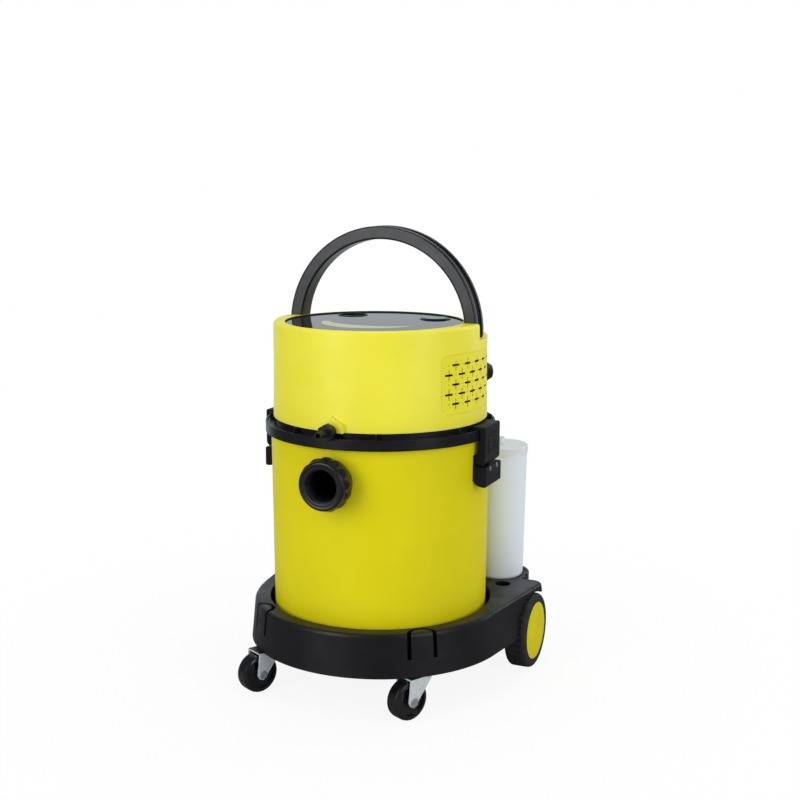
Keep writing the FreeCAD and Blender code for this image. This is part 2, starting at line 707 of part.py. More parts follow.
def make_trolley_base():
    body = new_body("trolley_base")
    bottom = size("trolley_bottom_height")
    deck = size("trolley_deck_height")
    wall = size("trolley_wall")
    radius = size("trolley_radius")
    draft = -size("trolley_draft_angle")
    extrude(body, rear_plan(body, bottom, as_size(0)), trolley_height, taper=draft)
    round_edges(body, size("trolley_corner_radius"), lambda edge: (
        edge.BoundBox.ZLength > 10 and edge.BoundBox.YMin > value("trolley_rear_reach") / 2))
    edge_radius = size("trolley_edge_radius")
    round_edges(body, edge_radius, lambda edge: edge.BoundBox.ZMin > deck.number - 0.01)
    extrude(body, rear_plan(body, bottom, wall), trolley_height - wall, cut=True,
            reverse=True, taper=draft)
    edge_slope = tangent(size("trolley_draft_angle"))
    edge_inset = 1 - cosine(eighth_turn)
    well_outer = size("well_radius") + wall
    well_bottom = size("well_floor_height") - wall
    revolve(body, outline(body, "XZ_Plane", [
        (radius, bottom), (deck_radius + edge_radius * edge_slope, deck - edge_radius),
        (deck_radius - edge_radius * edge_inset, deck - edge_radius * edge_inset),
        (deck_radius - edge_radius, deck), (0, deck), (0, well_bottom),
        (well_outer, well_bottom), (well_outer, deck - wall),
        (deck_radius - wall, deck - wall), (radius - wall, bottom)]))
    # Bottle cup on the right of the deck, with a lip round its rear half
    cup = (size("bottle_side"), size("bottle_reach"), size("cup_radius"))
    extrude(body, circles(body, "XY_Plane", [cup], deck - size("cup_depth")), size("cup_depth"))
    extrude(body, circles(body, "XY_Plane", [(0, 0, size("well_radius"))], deck),
            deck - size("well_floor_height"), cut=True)
    lip_inner = size("cup_radius") - wall
    extrude(body, circles(body, "XY_Plane", [cup], deck - wall), size("cup_lip_height") + wall)
    extrude(body, circles(body, "XY_Plane", [(cup[0], cup[1], lip_inner)],
                          deck + size("cup_lip_height")), size("cup_lip_height"), cut=True)
    extrude(body, outline(body, "XY_Plane", [
        (cup[0] - cup[2] - wall, cup[1] - cup[2] - wall),
        (cup[0] + cup[2] + wall, cup[1] - cup[2] - wall),
        (cup[0] + cup[2] + wall, cup[1]), (cup[0] - cup[2] - wall, cup[1])],
        deck + size("cup_lip_height")), size("cup_lip_height"), cut=True)
    recess = size("bottle_bottom_radius") + size("moving_clearance") * 2
    extrude(body, circles(body, "XY_Plane", [(cup[0], cup[1], recess)], deck),
            size("cup_recess"), cut=True)
    # Caster sockets under their tongues
    sockets = [(side, caster_front, size("caster_socket_radius"))
               for side in (caster_side, -caster_side)]
    extrude(body, circles(body, "XY_Plane", sockets, socket_bottom_height),
            deck - socket_bottom_height - wall / 2)
    stems = [(side, caster_front, size("caster_stem_radius")) for side in (caster_side, -caster_side)]
    extrude(body, circles(body, "XY_Plane", stems, socket_bottom_height),
            size("caster_stem_length") + size("seat_clearance"), cut=True, reverse=True)
    for angle in (size("tongue_angle"), -size("tongue_angle")):
        extrude(body, tongue_slot(body, angle), size("tongue_slot_depth"), cut=True)
    # Wheel arches and the plates that carry the axle
    arch_side = size("wheel_inner_side") - size("moving_clearance") * 2
    axle_reach = size("wheel_axle_reach")
    axle_height = size("wheel_radius")
    arch_radius = size("wheel_radius") + size("wheel_arch_gap")
    arch = extrude(body, circles(body, "YZ_Plane", [(axle_reach, axle_height, arch_radius)],
                                 arch_side), radius, cut=True, reverse=True)
    lip_bottom = deck - size("fender_lip")
    behind = size("trolley_rear_reach") * 2
    open_back = extrude(body, outline(body, "YZ_Plane", [
        (axle_reach, 0), (behind, 0), (behind, lip_bottom), (axle_reach, lip_bottom)],
        arch_side), radius, cut=True, reverse=True)
    mirrored(body, [arch, open_back])
    carrier = extrude(body, outline(body, "YZ_Plane", [
        (axle_reach - size("carrier_half_length"), bottom),
        (axle_reach - size("carrier_foot_half_length"), axle_height - size("carrier_drop")),
        (axle_reach + size("carrier_foot_half_length"), axle_height - size("carrier_drop")),
        (axle_reach + size("carrier_half_length"), bottom),
        (axle_reach + size("carrier_half_length"), deck - wall / 2),
        (axle_reach - size("carrier_half_length"), deck - wall / 2)], arch_side),
        size("carrier_thickness"), reverse=True)
    mirrored(body, [carrier])
    extrude(body, circles(body, "YZ_Plane", [
        (axle_reach, axle_height, size("rear_axle_radius"))]),
        arch_side * 2 + wall, cut=True, middle=True)
    holes = [(side, size("deck_hole_reach"), size("deck_hole_radius"))
             for side in (size("deck_hole_side"), -size("deck_hole_side"))]
    extrude(body, circles(body, "XY_Plane", holes, deck), wall * 3, cut=True)
    screw_holes = [(size("drum_screw_reach"), 0, size("screw_radius"))]
    hole = extrude(body, circles(body, "XY_Plane", screw_holes, size("well_floor_height")),
                   wall * 2, cut=True)
    around(body, hole, corners_of_square)
    return stand(body)


make_trolley_base()


# Rear axle and the clips that keep the wheels on it
def make_rear_axle():
    half_length = size("wheel_inner_side") + size("wheel_width") - size("axle_end_stand_off")
    axle = turned("rear_axle", [(0, -half_length), (size("rear_axle_radius"), -half_length),
                                (size("rear_axle_radius"), half_length), (0, half_length)])
    stand(axle, 0, size("wheel_axle_reach"), size("wheel_radius"), (0, 1, 0), quarter_turn)


make_rear_axle()

clip_side = (size("wheel_inner_side") + size("wheel_width") - size("wheel_hub_end")
             + size("moving_clearance"))
clips = []
for side in (clip_side, -clip_side - size("axle_clip_thickness")):
    start = (side.number, axis_y.number + value("wheel_axle_reach"), value("wheel_radius"))
    ring = rod(value("axle_clip_radius"), value("axle_clip_thickness"), start, (1, 0, 0))
    hole = rod(value("rear_axle_radius"), value("axle_clip_thickness"), start, (1, 0, 0))
    clips.append(ring.cut(hole))
shaped("axle_clips", Part.makeCompound(clips))


# Rear wheels: tyre with cross tread, rim on the axle, cap over the axle end
def make_rear_wheel(hand, direction):
    width = size("wheel_width")
    rim = size("wheel_rim_radius")
    outer = size("wheel_radius")
    shoulder = size("wheel_shoulder_radius")
    place = (direction * size("wheel_inner_side"), size("wheel_axle_reach"), outer,
             (0, 1, 0), quarter_turn * direction)
    tyre = turned("rear_tyre_" + hand, [
        (rim, 0), (outer - shoulder, 0), (outer, shoulder), (outer, width - shoulder),
        (outer - shoulder, width), (rim, width)])
    half_tread = size("tread_width") / 2
    groove = extrude(tyre, outline(tyre, "XY_Plane", [
        (outer - size("tread_depth"), -half_tread), (outer + shoulder, -half_tread),
        (outer + shoulder, half_tread), (outer - size("tread_depth"), half_tread)], width),
        width, cut=True)
    around(tyre, groove, size("tread_count"))
    stand(tyre, *place)
    hub_end = width - size("wheel_hub_end")
    inner = rim - size("wheel_rim_wall")
    hub = size("wheel_hub_radius")
    bore = size("rear_axle_radius") + size("running_clearance")
    web = width / 2
    half_web = size("wheel_web") / 2
    wheel = turned("rear_rim_" + hand, [
        (bore, 0), (hub, 0), (hub, web - half_web), (inner, web - half_web), (inner, 0),
        (rim, 0), (rim, width), (size("wheel_cap_radius"), width), (size("wheel_cap_radius"),
        width - size("wheel_cap_wall")), (inner, width - size("wheel_cap_wall")),
        (inner, web + half_web), (hub, web + half_web), (hub, hub_end), (bore, hub_end)])
    stand(wheel, *place)
    cap_radius = size("wheel_cap_radius")
    cap_back = width - size("wheel_cap_wall")
    flat = size("wheel_cap_flat_radius")
    cap = turned("wheel_cap_" + hand, [
        (0, width + size("wheel_cap_crown") - size("wheel_cap_wall")),
        (flat, width + size("wheel_cap_crown") - size("wheel_cap_wall")),
        (cap_radius - size("wheel_cap_wall"), cap_back), (cap_radius, cap_back),
        (cap_radius, width), (flat, width + size("wheel_cap_crown")),
        (0, width + size("wheel_cap_crown"))])
    stand(cap, *place)


make_rear_wheel("right", 1)
make_rear_wheel("left", -1)


# Casters: stem fixed in the trolley, fork that swivels on it, wheel in the fork
def make_caster(hand, direction):
    """Both forks rest turned the same way, as after a move to the left."""
    place = (direction * caster_side, caster_front)
    rest = size("caster_rest_turn")
    pin = size("caster_pin_radius")
    head_top = crown_bottom_height - size("running_clearance")
    stem = turned("caster_stem_" + hand, [
        (0, head_top - size("caster_pin_head_height")),
        (size("caster_pin_head_radius"), head_top - size("caster_pin_head_height")),
        (size("caster_pin_head_radius"), head_top), (pin, head_top),
        (pin, crown_top_height + size("running_clearance")),
        (size("caster_raceway_radius"), crown_top_height + size("running_clearance")),
        (size("caster_raceway_radius"), socket_bottom_height),
        (size("caster_stem_radius"), socket_bottom_height),
        (size("caster_stem_radius"), socket_bottom_height + size("caster_stem_length")),
        (0, socket_bottom_height + size("caster_stem_length"))])
    stand(stem, *place)
    fork = new_body("caster_fork_" + hand)
    half_gap = size("fork_gap") / 2
    half_width = half_gap + size("fork_plate")
    front = -size("caster_trail") - size("fork_front")
    extrude(fork, outline(fork, "XY_Plane", [
        (half_width, front), (half_width, size("fork_shoulder")),
        (size("fork_rear_half_width"), size("fork_rear")),
        (-size("fork_rear_half_width"), size("fork_rear")),
        (-half_width, size("fork_shoulder")), (-half_width, front)], crown_bottom_height),
        size("fork_plate"))
    axle_height = size("caster_wheel_radius")
    end = size("fork_end_radius")
    corner = size("fork_end_corner")
    leg = extrude(fork, outline(fork, "YZ_Plane", [
        (front, crown_top_height), (size("fork_shoulder"), crown_top_height),
        (size("fork_shoulder"), crown_bottom_height),
        (end - size("caster_trail"), axle_height), (corner - size("caster_trail"), axle_height - corner),
        (-size("caster_trail"), axle_height - end),
        (-corner - size("caster_trail"), axle_height - corner),
        (-end - size("caster_trail"), axle_height), (front, crown_bottom_height)], half_gap),
        size("fork_plate"))
    mirrored(fork, [leg])
    extrude(fork, circles(fork, "XY_Plane", [(0, 0, pin + size("running_clearance"))],
                          crown_top_height), size("fork_plate"), cut=True)
    extrude(fork, circles(fork, "YZ_Plane", [
        (-size("caster_trail"), axle_height, size("caster_axle_radius"))]),
        half_width * 2, cut=True, middle=True)
    stand(fork, *place, turn_axis=(0, 0, 1), turn=rest)
    across = math.radians(rest.number)
    wheel_place = (place[0] + size("caster_trail") * sine(rest),
                   place[1] - size("caster_trail") * cosine(rest), axle_height,
                   (-math.sin(across), math.cos(across), 0), quarter_turn)
    rod_radius = size("caster_axle_radius")
    head_radius = size("caster_axle_head_radius")
    head_side = half_width + size("caster_axle_head_height")
    axle = turned("caster_axle_" + hand, [
        (0, -head_side), (head_radius, -head_side), (head_radius, -half_width),
        (rod_radius, -half_width), (rod_radius, half_width), (head_radius, half_width),
        (head_radius, head_side), (0, head_side)])
    stand(axle, *wheel_place)
    radius = size("caster_wheel_radius")
    half = size("caster_wheel_width") / 2
    edge = size("caster_wheel_edge")
    bore = rod_radius + size("running_clearance")
    hub = size("caster_hub_radius")
    hub_side = half + size("caster_hub_step")
    web = size("caster_web_radius")
    web_side = half - size("caster_web_recess")
    wheel = turned("caster_wheel_" + hand, [
        (bore, -hub_side), (hub, -hub_side), (hub, -web_side), (web, -web_side), (web, -half)]
        + arc_corners(radius - edge, edge - half, edge, -90, 0, 3)
        + arc_corners(radius - edge, half - edge, edge, 0, 90, 3)
        + [(web, half), (web, web_side), (hub, web_side), (hub, hub_side), (bore, hub_side)])
    stand(wheel, *wheel_place)


make_caster("right", 1)
make_caster("left", -1)


# Drum with rolled rim, hole for the inlet tube and holes for its foot screws
def make_drum():
    wall = size("drum_wall")
    bottom = drum_bottom_height
    top = size("drum_top_height")
    low = size("drum_bottom_radius")
    high = size("drum_top_radius")
    rim = high + size("drum_rim_width")
    drum = turned("drum", [
        (0, bottom), (low, bottom), (high, top - size("drum_rim_height")),
        (rim, top - size("drum_rim_height")), (rim, top), (high - wall, top),
        (low - wall, bottom + wall), (0, bottom + wall)])
    round_edges(drum, size("drum_corner_radius"),
                lambda edge: is_circle_at(edge, low.number, bottom.number))
    round_edges(drum, size("drum_corner_radius") - wall,
                lambda edge: is_circle_at(edge, low.number - wall.number,
                                          bottom.number + wall.number))
    extrude(drum, circles(drum, "XZ_Plane", [(0, size("inlet_height"), inlet_tube_radius)]),
            rim, cut=True, reverse=True)
    hole = extrude(drum, circles(drum, "XY_Plane", [
        (size("drum_screw_reach"), 0, size("screw_radius"))], bottom + wall), wall, cut=True)
    around(drum, hole, corners_of_square)
    extrude(drum, circles(drum, "YZ_Plane", [
        (side, bracket_screw_height, size("screw_radius"))
        for side in (size("bracket_screw_side"), -size("bracket_screw_side"))]),
        rim * 2, cut=True, middle=True)
    stand(drum)


make_drum()


# Collar over the drum rim: skirt outside, web on top, inner lip, upstand round the gasket
def make_drum_collar():
    outer = size("collar_radius")
    skirt = outer - size("collar_wall")
    inner = size("collar_inner_radius")
    web_bottom = size("drum_top_height")
    inner_foot = web_bottom - size("collar_inner_drop")
    collar = turned("drum_collar", [
        (outer, size("collar_bottom_height")), (outer, size("collar_top_height")),
        (skirt, size("collar_top_height")), (skirt, web_top_height), (inner, web_top_height),
        (inner, inner_foot), (inner + size("collar_wall"), inner_foot),
        (inner + size("collar_wall"), web_bottom), (skirt, web_bottom),
        (skirt, size("collar_bottom_height"))])
    stand(collar)


make_drum_collar()

stand(turned("head_gasket", [
    (size("gasket_inner_radius"), gasket_bottom_height),
    (size("gasket_outer_radius"), gasket_bottom_height),
    (size("gasket_outer_radius"), floor_bottom_height),
    (size("gasket_inner_radius"), floor_bottom_height)]))


# Head base: floor over the drum, flange on the gasket, upstand inside the housing, gap ribs
def make_head_base():
    flange = size("head_flange_radius")
    wall = head_base_radius - size("head_wall")
    flange_top = floor_bottom_height + size("head_flange_thickness")
    base = turned("head_base", [
        (size("suction_hole_radius"), floor_bottom_height), (flange, floor_bottom_height),
        (flange, flange_top), (head_base_radius, flange_top),
        (head_base_radius, floor_top_height + size("head_base_rise")),
        (wall, floor_top_height + size("head_base_rise")),
        (wall, floor_top_height), (size("suction_hole_radius"), floor_top_height)])
    half_rib = size("gap_rib_thickness") / 2
    rib = outline(base, "XY_Plane", [
        (wall + size("seat_clearance"), -half_rib), (flange - size("gap_rib_end"), -half_rib),
        (flange - size("gap_rib_end"), half_rib), (wall + size("seat_clearance"), half_rib)],
        flange_top)
    rib.AttachmentOffset = FreeCAD.Placement(
        FreeCAD.Vector(0, 0, flange_top.number),
        FreeCAD.Rotation(FreeCAD.Vector(0, 0, 1), value("gap_rib_angle")))
    bind(rib, "AttachmentOffset.Rotation.Angle", size("gap_rib_angle"))
    ribs = extrude(base, rib, size("head_bottom_height") - flange_top - size("seat_clearance"))
    around(base, ribs, size("gap_rib_count"))
    # Notch for the outlet, then the holes for the screws of the housing and of the cage
    extrude(base, circles(base, "XZ_Plane", [
        (0, outlet_height, size("outlet_barrel_radius"))]), flange, cut=True, reverse=True)
    post = size("head_post_reach") * cosine(eighth_turn)
    hole = extrude(base, circles(base, "XY_Plane", [(post, post, size("screw_radius"))],
                                 floor_top_height), size("head_floor_thickness"), cut=True)
    around(base, hole, corners_of_square)
    stand(base)


make_head_base()


def handle_screw_holes():
    """Two upright screws under each leg of the handle."""
    side = handle_inner_radius + size("handle_screw_inset")
    half_spacing = size("handle_screw_spacing") / 2
    return [(hand * side, size("handle_screw_reach") + offset, size("screw_radius"))
            for hand in (1, -1) for offset in (-half_spacing, half_spacing)]


# Head housing: drawn cover with a recessed top, a lower shoulder behind, vent openings
shelf_overlap = 4  # degrees that the shoulder's shelf runs into the round wall
shelf_arc_steps = 16


def make_head_housing():
    bottom = size("head_bottom_height")
    top = size("head_top_height")
    wall = size("head_wall")
    low = size("head_bottom_radius")
    high = size("head_top_radius")
    ceiling = top - size("head_top_wall")
    gap = size("seat_clearance")
    housing = turned("head_housing", [
        (low - wall, bottom), (low, bottom), (high, top), (0, top), (0, ceiling),
        (high - wall, ceiling)])
    round_edges(housing, size("head_edge_radius"),
                lambda edge: is_circle_at(edge, high.number, top.number))
    # Behind the front of the handle legs the cover is cut down to a shoulder
    step = size("handle_reach") - size("handle_width") / 2 - gap
    corner = size("step_corner_radius")
    corner_side = (low + high) / 2 - corner
    right_corner = arc_corners(corner_side, step - corner, corner, 0, 90, 4)
    left_corner = [(-x, y) for x, y in reversed(right_corner)]
    extrude(housing, outline(housing, "XY_Plane", [(low * 2, step - corner)]
                             + right_corner + left_corner
                             + [(-low * 2, step - corner), (-low * 2, low * 2),
                                (low * 2, low * 2)], top),
            top - size("shoulder_height"), cut=True)
    extrude(housing, outline(housing, "XY_Plane",
                             arc_corners(0, 0, low - wall / 2, -shelf_overlap,
                                         half_turn + shelf_overlap, shelf_arc_steps),
                             shelf_bottom_height), wall)
    bulkhead = extrude(housing, outline(housing, "XY_Plane", [
        (size("panel_radius") - wall, step), right_corner[4], right_corner[3], right_corner[2],
        (right_corner[2][0], step - wall), (size("panel_radius") - wall, step - wall)],
        shelf_bottom_height), ceiling - shelf_bottom_height)
    mirrored(housing, [bulkhead])
    # Boss round the rear half of the panel, then the panel's recess and ledge
    reach = size("panel_reach")
    boss = size("panel_radius") + size("panel_boss")
    revolve(housing, outline(housing, "XZ_Plane", [
        (0, shelf_bottom_height), (boss, shelf_bottom_height), (boss, top), (0, top)], reach),
        angle=180.0)
    recess = [(0, -reach, size("panel_radius"))]
    opening = [(0, -reach, size("panel_radius") - size("panel_ledge"))]
    extrude(housing, circles(housing, "XY_Plane", recess, top),
            size("panel_recess") + size("panel_thickness"), cut=True)
    extrude(housing, circles(housing, "XY_Plane", opening, top),
            top - shelf_bottom_height + wall, cut=True)
    extrude(housing, circles(housing, "XY_Plane", recess, shelf_bottom_height - wall),
            ceiling - shelf_bottom_height + wall, cut=True, reverse=True)
    # Vent openings on both sides
    half_span = size("head_bottom_radius") * sine(size("grille_half_angle"))
    extrude(housing, rounded_outline(
        housing, "YZ_Plane", half_span, size("grille_half_height"), size("grille_corner_radius"),
        size("grille_centre_height")), low * 2, cut=True, middle=True)
    # Screw holes in the shoulder, under the handle's legs
    extrude(housing, circles(housing, "XY_Plane", handle_screw_holes(),
                             size("shoulder_height")), wall * 2, cut=True)
    # Hole and flat seat for the cord gland
    turn = size("gland_angle") - quarter_turn
    tail = [(0, size("gland_height"), size("gland_tail_radius") + gap)]
    seat = [(0, size("gland_height"), size("gland_radius") + gap)]
    extrude(housing, circles(housing, "YZ_Plane", tail, as_size(0), turn), low * 2, cut=True,
            reverse=True)
    extrude(housing, circles(housing, "YZ_Plane", seat, low - size("gland_seat_depth"), turn),
            low, cut=True, reverse=True)
    # Posts for the screws that come up through the head base
    reach = size("head_post_reach") * cosine(eighth_turn)
    post = extrude(housing, circles(housing, "XY_Plane", [
        (reach, reach, size("head_post_radius"))], floor_top_height), size("head_post_rise"))
    around(housing, post, corners_of_square)
    web_bottom = floor_top_height + size("head_base_rise") + size("moving_clearance")
    half_web = size("head_post_web") * cosine(eighth_turn) / 2
    skin = (low - wall / 2) * cosine(eighth_turn)
    web = extrude(housing, outline(housing, "XY_Plane", [
        (reach + half_web, reach - half_web), (skin + half_web, skin - half_web),
        (skin - half_web, skin + half_web), (reach - half_web, reach + half_web)],
        web_bottom), floor_top_height + size("head_post_rise") - web_bottom)
    around(housing, web, corners_of_square)
    hole = extrude(housing, circles(housing, "XY_Plane", [
        (reach, reach, size("screw_radius"))], floor_top_height), size("screw_length"),
        cut=True, reverse=True)
    around(housing, hole, corners_of_square)
    # Gable over the solution outlet, and the outlet's own hole
    outlet = outlet_height
    half_gable = size("gable_half_width")
    extrude(housing, outline(housing, "XZ_Plane", [
        (-half_gable, bottom), (half_gable, bottom),
        (half_gable, outlet + size("gable_shoulder_rise")), (0, outlet + size("gable_rise")),
        (-half_gable, outlet + size("gable_shoulder_rise"))], low - wall / 2),
        size("gable_reach") - low + wall / 2)
    extrude(housing, circles(housing, "XZ_Plane", [
        (0, outlet, size("outlet_barrel_radius"))]), low * 2, cut=True, reverse=True)
    stand(housing)


make_head_housing()


# Top panel in the housing's recess, with holes for the two switches
def make_top_panel():
    panel = turned("top_panel", [
        (0, panel_bottom_height), (size("panel_radius") - size("seat_clearance"), panel_bottom_height),
        (size("panel_radius") - size("seat_clearance"), panel_top_height), (0, panel_top_height)])
    reach = size("switch_reach") + size("panel_reach")
    holes = [(side, reach, size("switch_barrel_radius"))
             for side in (size("switch_side"), -size("switch_side"))]
    extrude(panel, circles(panel, "XY_Plane", holes, panel_top_height),
            size("panel_thickness"), cut=True)
    stand(panel, 0, -size("panel_reach"))


make_top_panel()


# Vent grilles: curved inserts with staggered slots, one in each side of the housing
# First column, count of such columns, rows of their slots, rows of their dimples
grille_columns = ((-6, 7, (-1, 1), (-2, 0, 2)), (-5, 6, (-2, 0, 2), (-1, 1)))


def grid_bars(body, column, rows, half_length, half_height, lift):
    """Bars of one grid column, turned round the drum axis to that column's place."""
    sketch = new_sketch(body, "YZ_Plane", lift, column * size("grille_column_angle"))
    for row in rows:
        middle = size("grille_centre_height") + row * size("grille_row_pitch")
        corners = [(-half_length, middle - half_height), (half_length, middle - half_height),
                   (half_length, middle + half_height), (-half_length, middle + half_height)]
        first = sketch.GeometryCount
        points = [FreeCAD.Vector(x.number, y.number, 0) for x, y in corners]
        for i in range(4):
            sketch.addGeometry(Part.LineSegment(points[i], points[(i + 1) % 4]), False)
        for i, (x, y) in enumerate(corners):
            sketch.addConstraint(
                Sketcher.Constraint("Coincident", first + i, 2, first + (i + 1) % 4, 1))
            pin_point(sketch, first + i, 1, x, y)
    return sketch


def make_vent_grille(hand, turn):
    grille = new_body("vent_grille_" + hand)
    gap = size("seat_clearance")
    low = size("head_bottom_radius") - size("grille_recess")
    high = size("head_top_radius") - size("grille_recess")
    bottom = size("head_bottom_height")
    top = size("head_top_height")
    half_span = size("head_bottom_radius") * sine(size("grille_half_angle")) - gap
    extrude(grille, rounded_outline(
        grille, "YZ_Plane", half_span, size("grille_half_height") - gap,
        size("grille_corner_radius") - gap, size("grille_centre_height")), low * 2, reverse=False)
    thick = size("grille_thickness")
    revolve(grille, outline(grille, "XZ_Plane", [
        (0, bottom), (low - thick, bottom), (high - thick, top), (0, top)]), cut=True)
    revolve(grille, outline(grille, "XZ_Plane", [
        (low, bottom), (low * 3, bottom), (low * 3, top), (high, top)]), cut=True)
    # Every second place of the grid has a slot with an upright groove, the others a dimple
    reach = size("head_bottom_radius")
    floor = (low + high) / 2 - size("grille_groove_depth")
    for column, count, slot_rows, dot_rows in grille_columns:
        slots = extrude(grille, grid_bars(
            grille, column, slot_rows, size("grille_slot_length") / 2,
            size("grille_slot_height") / 2, as_size(0)), reach, cut=True, reverse=True)
        grooves = extrude(grille, grid_bars(
            grille, column, slot_rows, size("grille_groove_width") / 2,
            size("grille_groove_length") / 2, floor), reach, cut=True, reverse=True)
        dots = extrude(grille, circles(grille, "YZ_Plane", [
            (0, size("grille_centre_height") + row * size("grille_row_pitch"),
             size("grille_dot_radius")) for row in dot_rows],
            floor, column * size("grille_column_angle")), reach, cut=True, reverse=True)
        fanned(grille, [slots, grooves, dots], count, 2 * size("grille_column_angle"))
    stand(grille, turn_axis=(0, 0, 1), turn=turn)


make_vent_grille("right", 0)
make_vent_grille("left", 180)


# Carrying handle: grooved half ring with short legs that stand on the housing's shoulder
def handle_section(body, plane, lift):
    inner = handle_inner_radius
    outer = size("handle_outer_radius")
    groove = outer - size("handle_groove_depth")
    front = size("handle_reach") - size("handle_width") / 2
    rear = size("handle_reach") + size("handle_width") / 2
    groove_front = size("handle_reach") - size("handle_groove_width") / 2
    groove_rear = size("handle_reach") + size("handle_groove_width") / 2
    return outline(body, plane, [
        (inner, front), (outer, front), (outer, groove_front), (groove, groove_front),
        (groove, groove_rear), (outer, groove_rear), (outer, rear), (inner, rear)], lift)


def make_handle():
    handle = new_body("handle")
    centre = size("handle_centre_height")
    revolve(handle, handle_section(handle, "XY_Plane", centre), angle=180.0, reverse=True)
    leg = extrude(handle, handle_section(handle, "XY_Plane", centre),
                  centre - handle_foot_height, reverse=True)
    mirrored(handle, [leg])
    outer = value("handle_outer_radius")
    inner = handle_inner_radius.number
    round_edges(handle, size("handle_edge_radius"), lambda edge: (
        isinstance(edge.Curve, Part.Circle) and edge.BoundBox.YLength < 0.01
        and min(abs(edge.Curve.Radius - outer), abs(edge.Curve.Radius - inner)) < 0.01
        and (edge.BoundBox.YMin < 0.1 or edge.BoundBox.YMax > value("handle_width") - 0.1)))
    # Round heel at the rear of each foot, and the holes for the screws from below
    heel = size("handle_heel_radius")
    rear = size("handle_reach") + size("handle_width") / 2
    clear = size("moving_clearance")
    extrude(handle, outline(handle, "YZ_Plane", arc_corners(
        rear - heel, handle_foot_height + heel, heel, -90, 0, 6) + [
        (rear + clear, handle_foot_height + heel), (rear + clear, handle_foot_height - clear),
        (rear - heel, handle_foot_height - clear)]),
        size("handle_outer_radius") * 3, cut=True, middle=True)
    extrude(handle, circles(handle, "XY_Plane", handle_screw_holes(), handle_foot_height),
            size("handle_screw_length") - size("head_wall"), cut=True, reverse=True)
    stand(handle)


make_handle()


# Switches: a rocker and a push button, each in its own round bezel
def switch_bezel(label, direction):
    top = panel_top_height
    flange_top = top + size("switch_bezel_rise")
    barrel = size("switch_barrel_radius")
    bore = size("switch_bore_radius")
    bottom = panel_bottom_height - size("switch_barrel_depth")
    bezel = turned(label, [
        (0, bottom), (barrel, bottom), (barrel, top), (size("switch_radius"), top),
        (size("switch_radius"), flange_top), (bore, flange_top),
        (bore, bottom + size("switch_floor")), (0, bottom + size("switch_floor"))])
    return stand(bezel, direction * size("switch_side"), size("switch_reach"))


rocker_pivot_height = panel_top_height - size("rocker_pivot_depth")
switch_bezel("pump_switch_bezel", 1)
rocker_bezel = switch_bezel("vacuum_switch_bezel", -1)
extrude(rocker_bezel, circles(rocker_bezel, "YZ_Plane", [
    (0, rocker_pivot_height, size("rocker_pin_radius") + size("running_clearance"))]),
    size("switch_radius") * 2, cut=True, middle=True)


def make_rocker():
    """Rocker held by its pivot line, resting with its rear half pressed."""
    pivot_drop = value("rocker_pivot_depth") - value("rocker_valley_depth")
    ball = Part.makeSphere(value("rocker_ball_radius"))
    reach = 2 * value("rocker_ball_radius")
    flat = box(reach * 2, reach, reach, -reach, 0, pivot_drop)
    raised = box(reach * 2, reach, reach, -reach, -reach, pivot_drop)
    valley = FreeCAD.Vector(0, 0, pivot_drop)
    raised.rotate(valley, FreeCAD.Vector(1, 0, 0), -2 * value("rocker_slope_angle"))
    under = box(reach * 2, reach * 2, reach, -reach, -reach,
                -reach - value("rocker_under_depth"))
    half_pin = value("switch_barrel_radius") - value("moving_clearance")
    pin = rod(value("rocker_pin_radius"), 2 * half_pin, (-half_pin, 0, 0), (1, 0, 0))
    rocker = ball.cut(flat).cut(raised).cut(under).fuse(pin)
    piece = shaped("vacuum_rocker", rocker.removeSplitter())
    stand(piece, -size("switch_side"), size("switch_reach"), rocker_pivot_height)


make_rocker()

button_top_height = panel_top_height + size("switch_bezel_rise") + size("button_rise")
button_edge = size("button_edge_radius")
stand(turned("pump_button", [
    (0, button_top_height - size("button_depth")),
    (size("button_radius"), button_top_height - size("button_depth")),
    (size("button_radius"), button_top_height - button_edge),
    (size("button_radius") - button_edge, button_top_height), (0, button_top_height)]),
    size("switch_side"), size("switch_reach"))


# Cord gland through the housing, behind the right vent
def make_cord_gland():
    wall_reach = size("head_bottom_radius") - size("gland_seat_depth")
    bore = size("gland_bore_radius")
    gland = turned("cord_gland", [
        (bore, wall_reach - size("gland_tail_length")),
        (size("gland_tail_radius"), wall_reach - size("gland_tail_length")),
        (size("gland_tail_radius"), wall_reach), (size("gland_radius"), wall_reach),
        (size("gland_radius"), wall_reach + size("gland_flange")),
        (size("gland_nose_radius"), size("gland_reach")), (bore, size("gland_reach"))])
    angle = math.radians(value("gland_angle"))
    stand(gland, 0, 0, size("gland_height"), (math.cos(angle), math.sin(angle), 0),
          quarter_turn)


make_cord_gland()


# Solution outlet: hexagon union on a short barrel, with a push-on tip
def make_solution_outlet():
    back = head_base_radius
    barrel = size("outlet_barrel_radius")
    hex_back = size("outlet_back_reach")
    tube = size("outlet_tube_radius")
    outlet = turned("solution_outlet", [
        (0, back), (barrel, back), (barrel, hex_back + size("outlet_hex_length") / 2),
        (tube, hex_back + size("outlet_hex_length") / 2), (tube, size("outlet_tip_reach")),
        (0, size("outlet_tip_reach"))])
    corner = size("outlet_hex_radius")
    half = corner / 2
    flat = corner * cosine(twelfth_turn)
    extrude(outlet, outline(outlet, "XY_Plane", [
        (0, corner), (-flat, half), (-flat, -half), (0, -corner), (flat, -half), (flat, half)],
        hex_back), size("outlet_hex_length"))
    extrude(outlet, circles(outlet, "XY_Plane", [(0, 0, size("outlet_bore_radius"))],
                            size("outlet_tip_reach")), size("outlet_tip_reach"), cut=True)
    stand(outlet, 0, 0, outlet_height, (1, 0, 0), quarter_turn)


make_solution_outlet()


